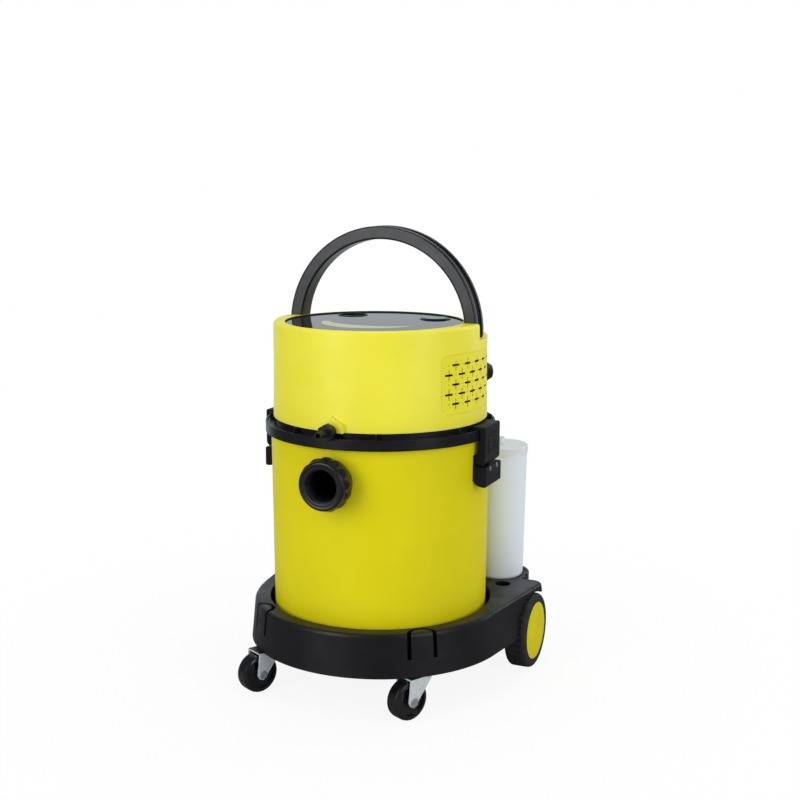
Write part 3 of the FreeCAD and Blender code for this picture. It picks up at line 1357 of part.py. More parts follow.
# Hose inlet: flanged tube on the drum, elbow inside, screwed nut outside
def make_inlet_spigot():
    spigot = new_body("inlet_spigot")
    height = size("inlet_height")
    inner = size("inlet_inner_reach")
    flange = size("inlet_flange_reach")
    extrude(spigot, circles(spigot, "XZ_Plane", [(0, height, size("inlet_flange_radius"))], inner),
            flange - inner)
    revolve(spigot, outline(spigot, "XZ_Plane", [
        (0, drum_bottom_height), (size("drum_bottom_radius"), drum_bottom_height),
        (size("drum_top_radius"), size("drum_top_height") - size("drum_rim_height")),
        (0, size("drum_top_height") - size("drum_rim_height"))]), cut=True)
    tube_tip = size("inlet_tip_reach") - size("nut_lip") - size("moving_clearance")
    extrude(spigot, circles(spigot, "XZ_Plane", [(0, height, inlet_tube_radius)], inner),
            tube_tip - inner)
    extrude(spigot, circles(spigot, "XZ_Plane", [(0, height, size("inlet_bore_radius"))],
                            inner - size("inlet_wall")), tube_tip, cut=True, reverse=True)
    stand(spigot)


make_inlet_spigot()


def bent_rod(radius, start, bend, drop):
    """A rod that leaves the start along +Y, turns down and ends after a straight drop."""
    disc = Part.Face(Part.Wire(Part.makeCircle(radius, start, FreeCAD.Vector(0, 1, 0))))
    pivot = start - FreeCAD.Vector(0, 0, bend)
    curve = disc.revolve(pivot, FreeCAD.Vector(1, 0, 0), -90)
    end = start + FreeCAD.Vector(0, bend, -bend)
    return curve.fuse(rod(radius, drop, end, (0, 0, -1))).removeSplitter()


def make_inlet_elbow():
    """Bend that turns the incoming flow down into the drum."""
    start = FreeCAD.Vector(0, axis_y.number - value("inlet_inner_reach"), value("inlet_height"))
    bend = value("elbow_bend_radius")
    drop = value("elbow_drop")
    shaped("inlet_elbow", bent_rod(inlet_tube_radius.number, start, bend, drop).cut(
        bent_rod(value("inlet_bore_radius"), start, bend, drop)))


make_inlet_elbow()


def make_inlet_nut():
    bore = inlet_tube_radius + size("running_clearance")
    back = size("nut_back_reach")
    lip_back = size("inlet_tip_reach") - size("nut_lip")
    front = size("inlet_tip_reach")
    grip = size("nut_grip_radius")
    step = (grip - size("nut_ring_radius")) / 2
    nut = turned("inlet_nut", [
        (bore, back), (grip - step, back), (grip, back + step),
        (grip, back + size("nut_grip_length")),
        (size("nut_ring_radius"), back + size("nut_grip_length") + step),
        (size("nut_ring_radius"), front), (size("inlet_bore_radius"), front),
        (size("inlet_bore_radius"), lip_back), (bore, lip_back)])
    scallop = extrude(nut, circles(nut, "XY_Plane", [
        (0, size("nut_scallop_reach"), size("nut_scallop_radius"))],
        back + size("nut_grip_length") + step), size("nut_grip_length") * 2, cut=True)
    around(nut, scallop, size("nut_scallop_count"))
    stand(nut, 0, 0, size("inlet_height"), (1, 0, 0), quarter_turn)


make_inlet_nut()


# Latches: bracket on the drum, lever on a pin, wedge on the head under the lever's hook
cheek_arc = (150, 260, 4)  # first and last angle of the cheek round the pin, and its steps


def inside_drum():
    """Profile of the space that the drum fills, up to its rim."""
    rim_bottom = size("drum_top_height") - size("drum_rim_height")
    return [(0, drum_bottom_height), (size("drum_bottom_radius"), drum_bottom_height),
            (size("drum_top_radius"), rim_bottom), (0, rim_bottom)]


def make_latch_bracket(hand, place):
    """Block with a back plate and two ears that carry the pin."""
    bracket = new_body("latch_bracket_" + hand)
    half = size("latch_half_width")
    clear = size("moving_clearance")
    side = size("latch_pivot_reach")
    height = latch_pivot_height
    reach = size("bracket_reach")
    bevel = size("bracket_bevel")
    foot = height - size("bracket_drop")
    head = height - size("latch_foot_radius") - clear
    back = size("drum_bottom_radius") - size("drum_wall") * 3
    corner = size("bracket_corner_radius")
    extrude(bracket, outline(bracket, "XZ_Plane", [(back, foot + corner)] + arc_corners(
        size("bracket_corner_reach"), foot + corner, corner, 180, 270, 4) + [
        (reach - bevel, foot), (reach, foot + bevel), (reach, head - bevel),
        (reach - bevel, head), (back, head)]), half * 2, middle=True)
    ear = size("latch_face_reach") - size("latch_plate") - side - clear
    ear_outer = half - size("latch_cheek") - clear
    for plate_reach, plate_half, plate_top in (
            (side - size("latch_hub_radius") - clear, half, height + size("latch_hub_radius")),
            (side - ear, ear_outer, height + ear)):
        extrude(bracket, outline(bracket, "XZ_Plane", [
            (back, head - bevel), (plate_reach, head - bevel), (plate_reach, plate_top),
            (back, plate_top)]), plate_half * 2, middle=True)
    ears = extrude(bracket, outline(bracket, "XZ_Plane", [(back, height - ear)] + arc_corners(
        side, height, ear, -90, 90, 6) + [(back, height + ear)],
        ear_outer - size("bracket_ear")), size("bracket_ear"))
    mirrored(bracket, [ears], "XZ_Plane")
    revolve(bracket, outline(bracket, "XZ_Plane", inside_drum()), cut=True)
    extrude(bracket, circles(bracket, "XZ_Plane", [(side, height, size("latch_pin_radius"))]),
            ear_outer * 2, cut=True, middle=True)
    screws = (size("bracket_screw_side"), -size("bracket_screw_side"))
    extrude(bracket, circles(bracket, "YZ_Plane", [
        (offset, bracket_screw_height, size("screw_radius")) for offset in screws]),
        reach, cut=True, reverse=True)
    extrude(bracket, circles(bracket, "YZ_Plane", [
        (offset, bracket_screw_height, size("bracket_screw_head_radius"))
        for offset in screws], reach), size("screw_head_height"), cut=True)
    stand(bracket, **place)


def make_latch_lever(hand, place):
    """Channel with two cheeks, whose top plate ends in the hook."""
    lever = new_body("latch_lever_" + hand)
    half = size("latch_half_width")
    side = size("latch_pivot_reach")
    height = latch_pivot_height
    face = size("latch_face_reach")
    inner = face - size("latch_plate")
    top = latch_top_height
    under = top - size("latch_hook_thickness")
    foot = size("latch_foot_radius")
    slant = size("latch_hook_thickness") * tangent(size("latch_hook_slant"))
    foot_arc = arc_corners(
        side, height, foot, -math.degrees(math.acos((inner - side).number / foot.number)),
        -math.degrees(math.acos((face - side).number / foot.number)), 3)
    bevel = size("latch_edge_bevel")
    extrude(lever, outline(lever, "XZ_Plane", [
        (size("latch_hook_reach"), top), (size("latch_hook_reach") + slant, under),
        (inner, under)] + foot_arc + [(face, top - bevel), (face - bevel, top)]),
        half * 2, middle=True)
    cheek_reach = face - size("latch_cheek_depth")
    cheek = extrude(lever, outline(lever, "XZ_Plane", [
        (cheek_reach, under), (cheek_reach, height + size("latch_notch_rise"))]
        + arc_corners(side, height, size("latch_hub_radius"), *cheek_arc) + foot_arc
        + [(face, under)], half - size("latch_cheek")), size("latch_cheek"))
    mirrored(lever, [cheek], "XZ_Plane")
    extrude(lever, circles(lever, "XZ_Plane", [
        (side, height, size("latch_pin_radius") + size("running_clearance"))]),
        (half - size("latch_pin_cover")) * 2, cut=True, middle=True)
    rib_height = size("latch_rib_height")
    for rib in range(int(value("latch_rib_count"))):
        low = height + size("latch_rib_rise") + rib * size("latch_rib_pitch")
        extrude(lever, outline(lever, "XZ_Plane", [
            (face - rib_height, low), (face + rib_height, low),
            (face + rib_height, low + size("latch_rib_width")),
            (face - rib_height, low + size("latch_rib_width"))]),
            (size("latch_rib_half_length") - rib % 2 * size("latch_rib_width")) * 2, middle=True)
    stand(lever, **place)


def make_latch_catch(hand, place):
    """Wedge on the head's flange, whose slanted face lies under the hook."""
    catch = new_body("latch_catch_" + hand)
    flange_top = floor_bottom_height + size("head_flange_thickness")
    foot = size("collar_top_height") + size("moving_clearance")
    top = latch_top_height
    tip = size("latch_hook_reach") - size("hook_clearance")
    slant = (top - foot) * tangent(size("latch_hook_slant"))
    back = head_base_radius - size("head_wall") * 2
    extrude(catch, outline(catch, "XZ_Plane", [
        (back, flange_top), (tip + slant, flange_top), (tip + slant, foot), (tip, top),
        (back, top)]), size("latch_half_width") * 2, middle=True)
    below = flange_top - size("moving_clearance")
    revolve(catch, outline(catch, "XZ_Plane", [
        (size("head_flange_radius"), below), (size("collar_radius") * 2, below),
        (size("collar_radius") * 2, foot), (size("head_flange_radius"), foot)]), cut=True)
    revolve(catch, outline(catch, "XZ_Plane", [
        (0, below), (head_base_radius, below), (head_base_radius, top + foot - below),
        (0, top + foot - below)]), cut=True)
    stand(catch, **place)


for hand, turn in (("right", 0), ("left", 180)):
    latch_place = dict(turn_axis=(0, 0, 1), turn=turn)
    make_latch_bracket(hand, latch_place)
    make_latch_lever(hand, latch_place)
    make_latch_catch(hand, latch_place)

half_pin = value("latch_half_width") - value("latch_pin_cover")
shaped("latch_pins", Part.makeCompound([
    rod(value("latch_pin_radius"), half_pin * 2,
        (side * value("latch_pivot_reach"), axis_y.number - half_pin,
         latch_pivot_height.number), (0, 1, 0)) for side in (1, -1)]))


# Screws in groups, with a head that ends where the shank starts
def screw(start, direction, length, head_radius=value("screw_head_radius")):
    start = FreeCAD.Vector(*start)
    along = FreeCAD.Vector(*direction)
    head = rod(head_radius, value("screw_head_height"),
               start - along * value("screw_head_height"), along)
    return head.fuse(rod(value("screw_radius"), length, start, along))


def ring_of_screws(label, reach, height, direction, length, first_angle):
    screws = []
    for quarter in range(4):
        angle = math.radians(first_angle + quarter_turn * quarter)
        screws.append(screw((reach * math.cos(angle), axis_y.number + reach * math.sin(angle),
                             height), direction, length))
    shaped(label, Part.makeCompound(screws))


ring_of_screws("head_screws", value("head_post_reach"), floor_bottom_height.number, (0, 0, 1),
               value("screw_length"), 45)
ring_of_screws("drum_screws", value("drum_screw_reach"),
               drum_bottom_height.number + value("drum_wall"), (0, 0, -1),
               value("drum_wall") + value("trolley_wall"), 0)
bracket_face = value("bracket_reach") - value("screw_head_height")
shaped("latch_screws", Part.makeCompound([
    screw((hand * bracket_face, axis_y.number + offset, bracket_screw_height.number),
          (-hand, 0, 0), bracket_face - value("drum_bottom_radius") + value("drum_wall"),
          value("bracket_screw_head_radius"))
    for hand in (1, -1) for offset in (value("bracket_screw_side"), -value("bracket_screw_side"))]))
shaped("handle_screws", Part.makeCompound([
    screw((as_size(side).number, axis_y.number + reach.number, shelf_bottom_height.number),
          (0, 0, 1), value("handle_screw_length")) for side, reach, radius in handle_screw_holes()]))


# Solution bottle in its cup, with a screw lid
def make_bottle():
    low = size("bottle_bottom_radius")
    high = size("bottle_top_radius")
    wall = size("bottle_wall")
    height = size("bottle_height")
    corner = size("bottle_corner_radius")
    neck = size("bottle_neck_radius")
    bottle = turned("bottle", [
        (0, 0), (low, 0), (high, height), (neck, height), (neck, height + size("bottle_neck_height")),
        (neck - wall, height + size("bottle_neck_height")), (neck - wall, height - wall),
        (high - wall, height - wall), (low - wall, wall), (0, wall)])
    round_edges(bottle, corner, lambda edge: is_circle_at(edge, low.number, 0))
    round_edges(bottle, corner - wall,
                lambda edge: is_circle_at(edge, low.number - wall.number, wall.number))
    place = (size("bottle_side"), size("bottle_reach"))
    stand(bottle, place[0], place[1], bottle_bottom_height)
    lid_radius = size("lid_radius")
    skin = size("lid_wall")
    lid_top = size("bottle_neck_height") + size("moving_clearance") + skin
    spout = size("lid_spout_radius")
    hole = size("lid_spout_bore_radius")
    bore = neck + size("moving_clearance")
    lid = turned("bottle_lid", [
        (bore, 0), (lid_radius, 0), (lid_radius, lid_top - skin / 2),
        (lid_radius - skin / 2, lid_top), (spout, lid_top), (spout - skin / 2,
        lid_top + size("lid_spout_height")), (hole, lid_top + size("lid_spout_height")),
        (hole, lid_top - skin), (bore, lid_top - skin)])
    stand(lid, place[0], place[1], bottle_top_height + size("running_clearance"))


make_bottle()


# Suction motor on the head base: fan case, can, stator, and the rotor that spins
blade_sweep = 10  # how many half thicknesses a blade leans back at its tip


def make_motor():
    wall = size("fan_case_wall")
    case = size("fan_case_radius")
    case_top = motor_can_bottom_height
    shaft_gap = size("shaft_radius") + size("moving_clearance")
    fan_case = turned("fan_case", [
        (size("suction_hole_radius"), floor_top_height), (case, floor_top_height),
        (case, case_top), (shaft_gap, case_top), (shaft_gap, case_top - wall),
        (case - wall, case_top - wall), (case - wall, floor_top_height + wall),
        (size("suction_hole_radius"), floor_top_height + wall)])
    half_vent = size("fan_vent_width") / 2
    vent_middle = floor_top_height + size("fan_case_height") / 2
    half_height = size("fan_vent_height") / 2
    vent = extrude(fan_case, outline(fan_case, "YZ_Plane", [
        (-half_vent, vent_middle - half_height), (half_vent, vent_middle - half_height),
        (half_vent, vent_middle + half_height), (-half_vent, vent_middle + half_height)]),
        case, cut=True, reverse=True)
    around(fan_case, vent, size("fan_vent_count"))
    stand(fan_case)
    can = size("motor_can_radius")
    can_wall = size("motor_can_wall")
    bearing = size("shaft_radius") + size("running_clearance")
    stand(turned("motor_can", [
        (bearing, case_top), (can, case_top), (can, motor_can_top_height),
        (0, motor_can_top_height), (0, motor_can_top_height - can_wall),
        (can - can_wall, motor_can_top_height - can_wall), (can - can_wall, case_top + can_wall),
        (bearing, case_top + can_wall)]))
    middle = (case_top + motor_can_top_height) / 2
    half_stack = size("stator_height") / 2
    stand(turned("motor_stator", [
        (size("stator_inner_radius"), middle - half_stack), (can - can_wall, middle - half_stack),
        (can - can_wall, middle + half_stack), (size("stator_inner_radius"), middle + half_stack)]))
    shaft_top = motor_can_top_height - can_wall - size("moving_clearance")
    shaft = size("shaft_radius")
    armature = size("armature_radius")
    stand(turned("motor_shaft", [
        (0, size("shaft_bottom_height")), (shaft, size("shaft_bottom_height")),
        (shaft, middle - half_stack), (armature, middle - half_stack),
        (armature, middle + half_stack), (shaft, middle + half_stack), (shaft, shaft_top),
        (0, shaft_top)]))
    disc_bottom = size("fan_bottom_height")
    disc_top = disc_bottom + size("fan_disc")
    blade_top = disc_top + size("fan_blade_height")
    impeller = turned("fan_impeller", [
        (shaft, disc_bottom), (size("fan_radius"), disc_bottom), (size("fan_radius"), disc_top),
        (size("fan_hub_radius"), disc_top), (size("fan_hub_radius"), blade_top),
        (shaft, blade_top)])
    half_blade = size("fan_blade_thickness") / 2
    blade = extrude(impeller, outline(impeller, "XY_Plane", [
        (size("fan_blade_inner_reach"), -half_blade),
        (size("fan_radius") - wall, half_blade * (blade_sweep - 1)),
        (size("fan_radius") - wall, half_blade * (blade_sweep + 1)),
        (size("fan_blade_inner_reach"), half_blade)],
        disc_top - half_blade), size("fan_blade_height"))
    around(impeller, blade, size("fan_blade_count"))
    stand(impeller)


make_motor()


# Solution pump beside the motor
def make_solution_pump():
    pump = turned("solution_pump", [
        (0, 0), (size("pump_radius"), 0), (size("pump_radius"), size("pump_height")),
        (0, size("pump_height"))])
    port_height = size("pump_height") - size("pump_radius")
    extrude(pump, circles(pump, "XZ_Plane", [(0, port_height, size("pump_port_radius"))]),
            size("pump_radius") + size("pump_port_length"))
    stand(pump, size("pump_side"), size("pump_reach"), floor_top_height)


make_solution_pump()


# Float that shuts the suction hole, and the cage it rises in
def make_float():
    cage = size("cage_radius")
    wall = size("cage_wall")
    flange_top = floor_bottom_height
    floor = cage_inner_height
    shell = turned("float_cage", [
        (size("suction_hole_radius"), floor - wall), (cage, floor - wall),
        (cage, flange_top - wall), (size("cage_flange_radius"), flange_top - wall),
        (size("cage_flange_radius"), flange_top), (cage - wall, flange_top), (cage - wall, floor),
        (size("suction_hole_radius"), floor)])
    half_window = size("cage_window_width") / 2
    window = extrude(shell, outline(shell, "YZ_Plane", [
        (-half_window, floor + wall * 2), (half_window, floor + wall * 2),
        (half_window, flange_top - wall * 4), (-half_window, flange_top - wall * 4)]),
        cage, cut=True, reverse=True)
    around(shell, window, size("cage_window_count"))
    stand(shell)
    bottom = floor + size("running_clearance")
    radius = size("float_radius")
    top = bottom + size("float_height") - size("moving_clearance")
    edge = wall * 2
    stand(turned("float", [
        (0, bottom), (radius - edge, bottom), (radius, bottom + edge), (radius, top - edge),
        (radius - edge, top), (0, top)]))


make_float()


# Checks of the finished document, then one file per piece
doc.recompute()
pieces = [item for item in doc.Objects if item.TypeId in ("PartDesign::Body", "Part::Feature")]
for item in doc.Objects:
    if "Invalid" in item.State or "Error" in item.State:
        raise RuntimeError("feature failed: " + item.Name)
os.makedirs("parts", exist_ok=True)
for piece in pieces:
    if piece.Shape.isNull() or not piece.Shape.isValid():
        raise RuntimeError("bad shape: " + piece.Label)
    piece.Shape.exportStep(os.path.join("parts", piece.Label + ".step"))
print("%d pieces" % len(pieces))
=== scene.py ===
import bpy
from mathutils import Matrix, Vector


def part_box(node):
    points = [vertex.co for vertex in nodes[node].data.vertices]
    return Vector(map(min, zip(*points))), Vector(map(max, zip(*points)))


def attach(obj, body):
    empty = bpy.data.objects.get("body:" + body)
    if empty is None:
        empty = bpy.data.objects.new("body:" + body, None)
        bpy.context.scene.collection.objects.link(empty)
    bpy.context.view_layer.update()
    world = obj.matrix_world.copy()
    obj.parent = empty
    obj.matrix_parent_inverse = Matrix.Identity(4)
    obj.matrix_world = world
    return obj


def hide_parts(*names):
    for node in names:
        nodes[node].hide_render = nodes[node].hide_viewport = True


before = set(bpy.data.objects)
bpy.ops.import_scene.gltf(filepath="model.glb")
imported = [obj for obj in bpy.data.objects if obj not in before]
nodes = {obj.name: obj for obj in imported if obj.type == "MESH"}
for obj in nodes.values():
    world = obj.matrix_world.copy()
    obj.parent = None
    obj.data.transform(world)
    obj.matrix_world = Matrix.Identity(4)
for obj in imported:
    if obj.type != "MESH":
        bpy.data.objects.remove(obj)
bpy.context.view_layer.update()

import math

import bmesh
import bpy
from mathutils import Vector

scene = bpy.context.scene
print("frame loaded:", len(nodes), "nodes")

drumAxisY = -0.00675  # the drum stands this far in front of the middle of the part
inletHeight = 0.294  # the axis of the hose inlet above the floor
weldDistance = 0.00001  # points closer together than this become one


# Camera at the photograph's viewing angle
cameraSetup = {
    "azimuth": 24.6,  # degrees from straight in front, towards the right
    "distance": 1.6652,
    "height": 0.6666,
    "lens": 57.8,
    "sensor": 36.0,
    "shiftX": 0.0245,
    "pitch": 10.007,  # degrees down
    "farthest": 30.0,
}


def makeCamera(setup):
    cameraData = bpy.data.cameras.new("photoCamera")
    cameraData.lens = setup["lens"]
    cameraData.sensor_width = setup["sensor"]
    cameraData.shift_x = setup["shiftX"]
    cameraData.clip_end = setup["farthest"]
    camera = bpy.data.objects.new("photoCamera", cameraData)
    turn = math.radians(setup["azimuth"])
    camera.location = (
        setup["distance"] * math.sin(turn),
        drumAxisY - setup["distance"] * math.cos(turn),
        setup["height"],
    )
    camera.rotation_euler = (math.radians(90.0 - setup["pitch"]), 0.0, turn)
    scene.collection.objects.link(camera)
    scene.camera = camera


makeCamera(cameraSetup)
print("camera placed")


# Floor and world
studio = {
    "floorRadius": 4.0,
    "floorSides": 96,
    "floorDrop": 0.0002,  # the floor lies this far under the wheels
    "fadeStart": 0.24,  # the floor runs out into the white background from here
    "fadeEnd": 0.80,
    "floorShade": 0.86,
    "floorShadeInGloss": 0.22,
    "floorGlow": 0.90,  # how far the camera sees the floor as white
    "roomColour": (1.0, 1.0, 1.0, 1.0),
    "roomLight": 0.52,
    "roomInGloss": 0.10,
    "backdropAzimuth": 204.6,  # the white backdrop behind the part, seen in its gloss
    "backdropEdge": (0.62, 0.86),
    "backdropInGloss": 0.74,
    "backdropColour": (0.88, 0.96, 1.0, 1.0),
}


def mixShaders(tree, mask, below, above):
    mix = tree.nodes.new("ShaderNodeMixShader")
    tree.links.new(mask, mix.inputs["Fac"])
    tree.links.new(below, mix.inputs[1])
    tree.links.new(above, mix.inputs[2])
    return mix.outputs["Shader"]


def smoothStep(tree, value, start, end):
    step = tree.nodes.new("ShaderNodeMapRange")
    step.interpolation_type = "SMOOTHSTEP"
    step.inputs["From Min"].default_value = start
    step.inputs["From Max"].default_value = end
    tree.links.new(value, step.inputs["Value"])
    return step


def makeFloorPaint(setup):
    paint = bpy.data.materials.new("floorPaint")
    paint.use_nodes = True
    tree = paint.node_tree
    tree.nodes.clear()
    output = tree.nodes.new("ShaderNodeOutputMaterial")
    # The floor fades out with the way from its middle
    place = tree.nodes.new("ShaderNodeTexCoord")
    reach = tree.nodes.new("ShaderNodeVectorMath")
    reach.operation = "LENGTH"
    tree.links.new(place.outputs["Object"], reach.inputs[0])
    fade = smoothStep(tree, reach.outputs["Value"], setup["fadeStart"], setup["fadeEnd"])
    # It is darker where gloss mirrors it
    shades = []
    for shade in (setup["floorShade"], setup["floorShadeInGloss"]):
        diffuse = tree.nodes.new("ShaderNodeBsdfDiffuse")
        diffuse.inputs["Color"].default_value = (shade, shade, shade, 1.0)
        shades.append(diffuse.outputs["BSDF"])
    rays = tree.nodes.new("ShaderNodeLightPath")
    painted = mixShaders(tree, rays.outputs["Is Glossy Ray"], shades[0], shades[1])
    # The camera sees it nearly white, and the rest of it takes the shadow
    seen = tree.nodes.new("ShaderNodeMath")
    seen.operation = "MULTIPLY"
    seen.inputs[1].default_value = setup["floorGlow"]
    tree.links.new(rays.outputs["Is Camera Ray"], seen.inputs[0])
    glow = tree.nodes.new("ShaderNodeEmission")
    lit = mixShaders(tree, seen.outputs["Value"], painted, glow.outputs["Emission"])
    clear = tree.nodes.new("ShaderNodeBsdfTransparent")
    faded = mixShaders(tree, fade.outputs["Result"], lit, clear.outputs["BSDF"])
    tree.links.new(faded, output.inputs["Surface"])
    return paint


def makeFloor(setup):
    mesh = bpy.data.meshes.new("floor")
    shape = bmesh.new()
    bmesh.ops.create_circle(
        shape, cap_ends=True, segments=setup["floorSides"], radius=setup["floorRadius"])
    bmesh.ops.translate(shape, verts=shape.verts, vec=(0.0, 0.0, -setup["floorDrop"]))
    shape.to_mesh(mesh)
    shape.free()
    mesh.materials.append(makeFloorPaint(setup))
    floor = bpy.data.objects.new("floor", mesh)
    scene.collection.objects.link(floor)


def addBackground(tree, colour, strength=1.0):
    background = tree.nodes.new("ShaderNodeBackground")
    background.inputs["Color"].default_value = colour
    background.inputs["Strength"].default_value = strength
    return background


def makeWorld(setup):
    world = bpy.data.worlds.new("studioRoom")
    scene.world = world
    world.use_nodes = True
    tree = world.node_tree
    tree.nodes.clear()
    output = tree.nodes.new("ShaderNodeOutputWorld")
    rays = tree.nodes.new("ShaderNodeLightPath")
    room = addBackground(tree, setup["roomColour"], setup["roomLight"])
    whiteRoom = addBackground(tree, setup["roomColour"])
    # In gloss the room is dim, with a white backdrop behind the part
    direction = tree.nodes.new("ShaderNodeTexCoord")
    towards = tree.nodes.new("ShaderNodeVectorMath")
    towards.operation = "DOT_PRODUCT"
    turn = math.radians(setup["backdropAzimuth"])
    towards.inputs[1].default_value = (math.sin(turn), -math.cos(turn), 0.0)
    tree.links.new(direction.outputs["Generated"], towards.inputs[0])
    backdrop = smoothStep(tree, towards.outputs["Value"], *setup["backdropEdge"])
    backdrop.inputs["To Min"].default_value = setup["roomInGloss"]
    backdrop.inputs["To Max"].default_value = setup["backdropInGloss"]
    glossRoom = addBackground(tree, setup["backdropColour"])
    tree.links.new(backdrop.outputs["Result"], glossRoom.inputs["Strength"])
    last = room.outputs["Background"]
    for ray, background in (
            ("Is Glossy Ray", glossRoom),
            ("Is Transmission Ray", whiteRoom),
            ("Is Camera Ray", whiteRoom)):
        last = mixShaders(tree, rays.outputs[ray], last, background.outputs["Background"])
    tree.links.new(last, output.inputs["Surface"])


makeFloor(studio)
makeWorld(studio)


# Lamps, each turned to the middle of the part
lampAim = 0.33  # height of the point that all lamps face
lamps = {  # azimuth in degrees, height, distance, width and length, power in watts
    "leftSoftbox": (-21.0, 1.0, 2.1, (1.0, 1.9), 25.0),
    "rightSoftbox": (69.0, 1.0, 2.1, (0.9, 1.9), 17.5),
    "backSoftbox": (142.0, 1.0, 2.1, (0.8, 1.9), 9.0),
    "overhead": (200.0, 2.3, 0.7, (1.4, 1.4), 12.0),
}


def makeLamp(name, azimuth, height, distance, size, power):
    lampData = bpy.data.lights.new(name, "AREA")
    lampData.shape = "RECTANGLE"
    lampData.size = size[0]
    lampData.size_y = size[1]
    lampData.energy = power
    lamp = bpy.data.objects.new(name, lampData)
    turn = math.radians(azimuth)
    lamp.location = (distance * math.sin(turn), -distance * math.cos(turn), height)
    towards = Vector((0.0, 0.0, lampAim)) - lamp.location
    lamp.rotation_euler = towards.to_track_quat("-Z", "Y").to_euler()
    scene.collection.objects.link(lamp)


for lampName, setup in lamps.items():
    makeLamp(lampName, *setup)
scene.view_settings.view_transform = "Standard"
print("studio lit")


# Building blocks of the materials
noiseSpan = (0.3, 0.7)  # most of a noise's values lie between these
fullSpan = (0.0, 1.0)
edgeSamples = 8


class Finish:
    def __init__(self, name, sockets, edge):
        self.material = bpy.data.materials.new(name)
        self.material.use_nodes = True
        self.tree = self.material.node_tree
        self.shader = self.tree.nodes["Principled BSDF"]
        for socket, amount in sockets.items():
            self.shader.inputs[socket].default_value = amount
        self.place = self.tree.nodes.new("ShaderNodeTexCoord").outputs["Object"]
        # Every finish starts with edges that look rounded
        soft = self.tree.nodes.new("ShaderNodeBevel")
        soft.samples = edgeSamples
        soft.inputs["Radius"].default_value = edge
        self.rounded = soft.outputs["Normal"]
        self.useNormal(self.rounded)

    def link(self, source, target):
        self.tree.links.new(source, target)

    def useNormal(self, normal):
        self.normal = normal
        self.link(normal, self.shader.inputs["Normal"])

    def addBump(self, height, depth):
        # Lies over the bumps made before it
        bump = self.tree.nodes.new("ShaderNodeBump")
        bump.inputs["Distance"].default_value = depth
        self.link(height, bump.inputs["Height"])
        self.link(self.normal, bump.inputs["Normal"])
        self.useNormal(bump.outputs["Normal"])

    def stretched(self, stretch):
        mapping = self.tree.nodes.new("ShaderNodeMapping")
        mapping.inputs["Scale"].default_value = stretch
        self.link(self.place, mapping.inputs["Vector"])
        return mapping.outputs["Vector"]

    def noise(self, grain, detail=3.0, stretch=None):
        node = self.tree.nodes.new("ShaderNodeTexNoise")
        node.inputs["Scale"].default_value = 1.0 / grain
        node.inputs["Detail"].default_value = detail
        self.link(self.stretched(stretch) if stretch else self.place, node.inputs["Vector"])
        return node.outputs["Fac"]

    def spangles(self, size):
        # One grey tone for each grain of metal
        cells = self.tree.nodes.new("ShaderNodeTexVoronoi")
        cells.inputs["Scale"].default_value = 1.0 / size
        self.link(self.place, cells.inputs["Vector"])
        tone = self.tree.nodes.new("ShaderNodeSeparateXYZ")
        self.link(cells.outputs["Color"], tone.inputs["Vector"])
        return tone.outputs["X"]

    def tones(self, factor, deep, pale, span=noiseSpan):
        node = self.tree.nodes.new("ShaderNodeValToRGB")
        for element, position, colour in zip(node.color_ramp.elements, span, (deep, pale)):
            element.position = position
            element.color = (*colour, 1.0)
        self.link(factor, node.inputs["Fac"])
        return node.outputs["Color"]

    def spread(self, factor, low, high, span=noiseSpan):
        # Turns the start of the span into low and its end into high
        node = self.tree.nodes.new("ShaderNodeMapRange")
        node.inputs["From Min"].default_value = span[0]
        node.inputs["From Max"].default_value = span[1]
        node.inputs["To Min"].default_value = low
        node.inputs["To Max"].default_value = high
        self.link(factor, node.inputs["Value"])
        return node.outputs["Result"]

    def reckon(self, operation, first, second):
        node = self.tree.nodes.new("ShaderNodeMath")
        node.operation = operation
        self.link(first, node.inputs[0])
        self.link(second, node.inputs[1])
        return node.outputs["Value"]

    def over(self, mask, below, above):
        node = self.tree.nodes.new("ShaderNodeMix")
        node.data_type = "RGBA"
        self.link(mask, node.inputs["Factor"])
        self.link(below, node.inputs["A"])
        self.link(above, node.inputs["B"])
        return node.outputs["Result"]

    def edges(self, match):
        # 1 on an edge, where the rounded normal leaves the face's own, and 0 away from it
        facing = self.tree.nodes.new("ShaderNodeNewGeometry")
        agree = self.tree.nodes.new("ShaderNodeVectorMath")
        agree.operation = "DOT_PRODUCT"
        self.link(facing.outputs["Normal"], agree.inputs[0])
        self.link(self.rounded, agree.inputs[1])
        return self.spread(agree.outputs["Value"], 1.0, 0.0, match)

    def upward(self, span):
        # 1 on the faces that look up
        facing = self.tree.nodes.new("ShaderNodeNewGeometry")
        parts = self.tree.nodes.new("ShaderNodeSeparateXYZ")
        self.link(facing.outputs["True Normal"], parts.inputs["Vector"])
        return self.spread(parts.outputs["Z"], 0.0, 1.0, span)

    def sunk(self, wall, sink):
        # 0 on a round wall about the drum's axis, 1 in what lies well behind that wall; the mask of
        # the painted shade in the grille's slots
        flat = self.tree.nodes.new("ShaderNodeMapping")
        flat.inputs["Location"].default_value = (0.0, -drumAxisY, 0.0)
        flat.inputs["Scale"].default_value = (1.0, 1.0, 0.0)
        self.link(self.place, flat.inputs["Vector"])
        reach = self.tree.nodes.new("ShaderNodeVectorMath")
        reach.operation = "LENGTH"
        self.link(flat.outputs["Vector"], reach.inputs[0])
        parts = self.tree.nodes.new("ShaderNodeSeparateXYZ")
        self.link(self.place, parts.inputs["Vector"])
        surface = self.spread(parts.outputs["Z"], *wall["radii"], wall["heights"])
        depth = self.reckon("SUBTRACT", surface, reach.outputs["Value"])
        return self.spread(depth, 0.0, 1.0, sink)


def varied(look, changes):
    return {**look, **changes}


def paler(colour, contrast):
    return [shade * contrast for shade in colour]
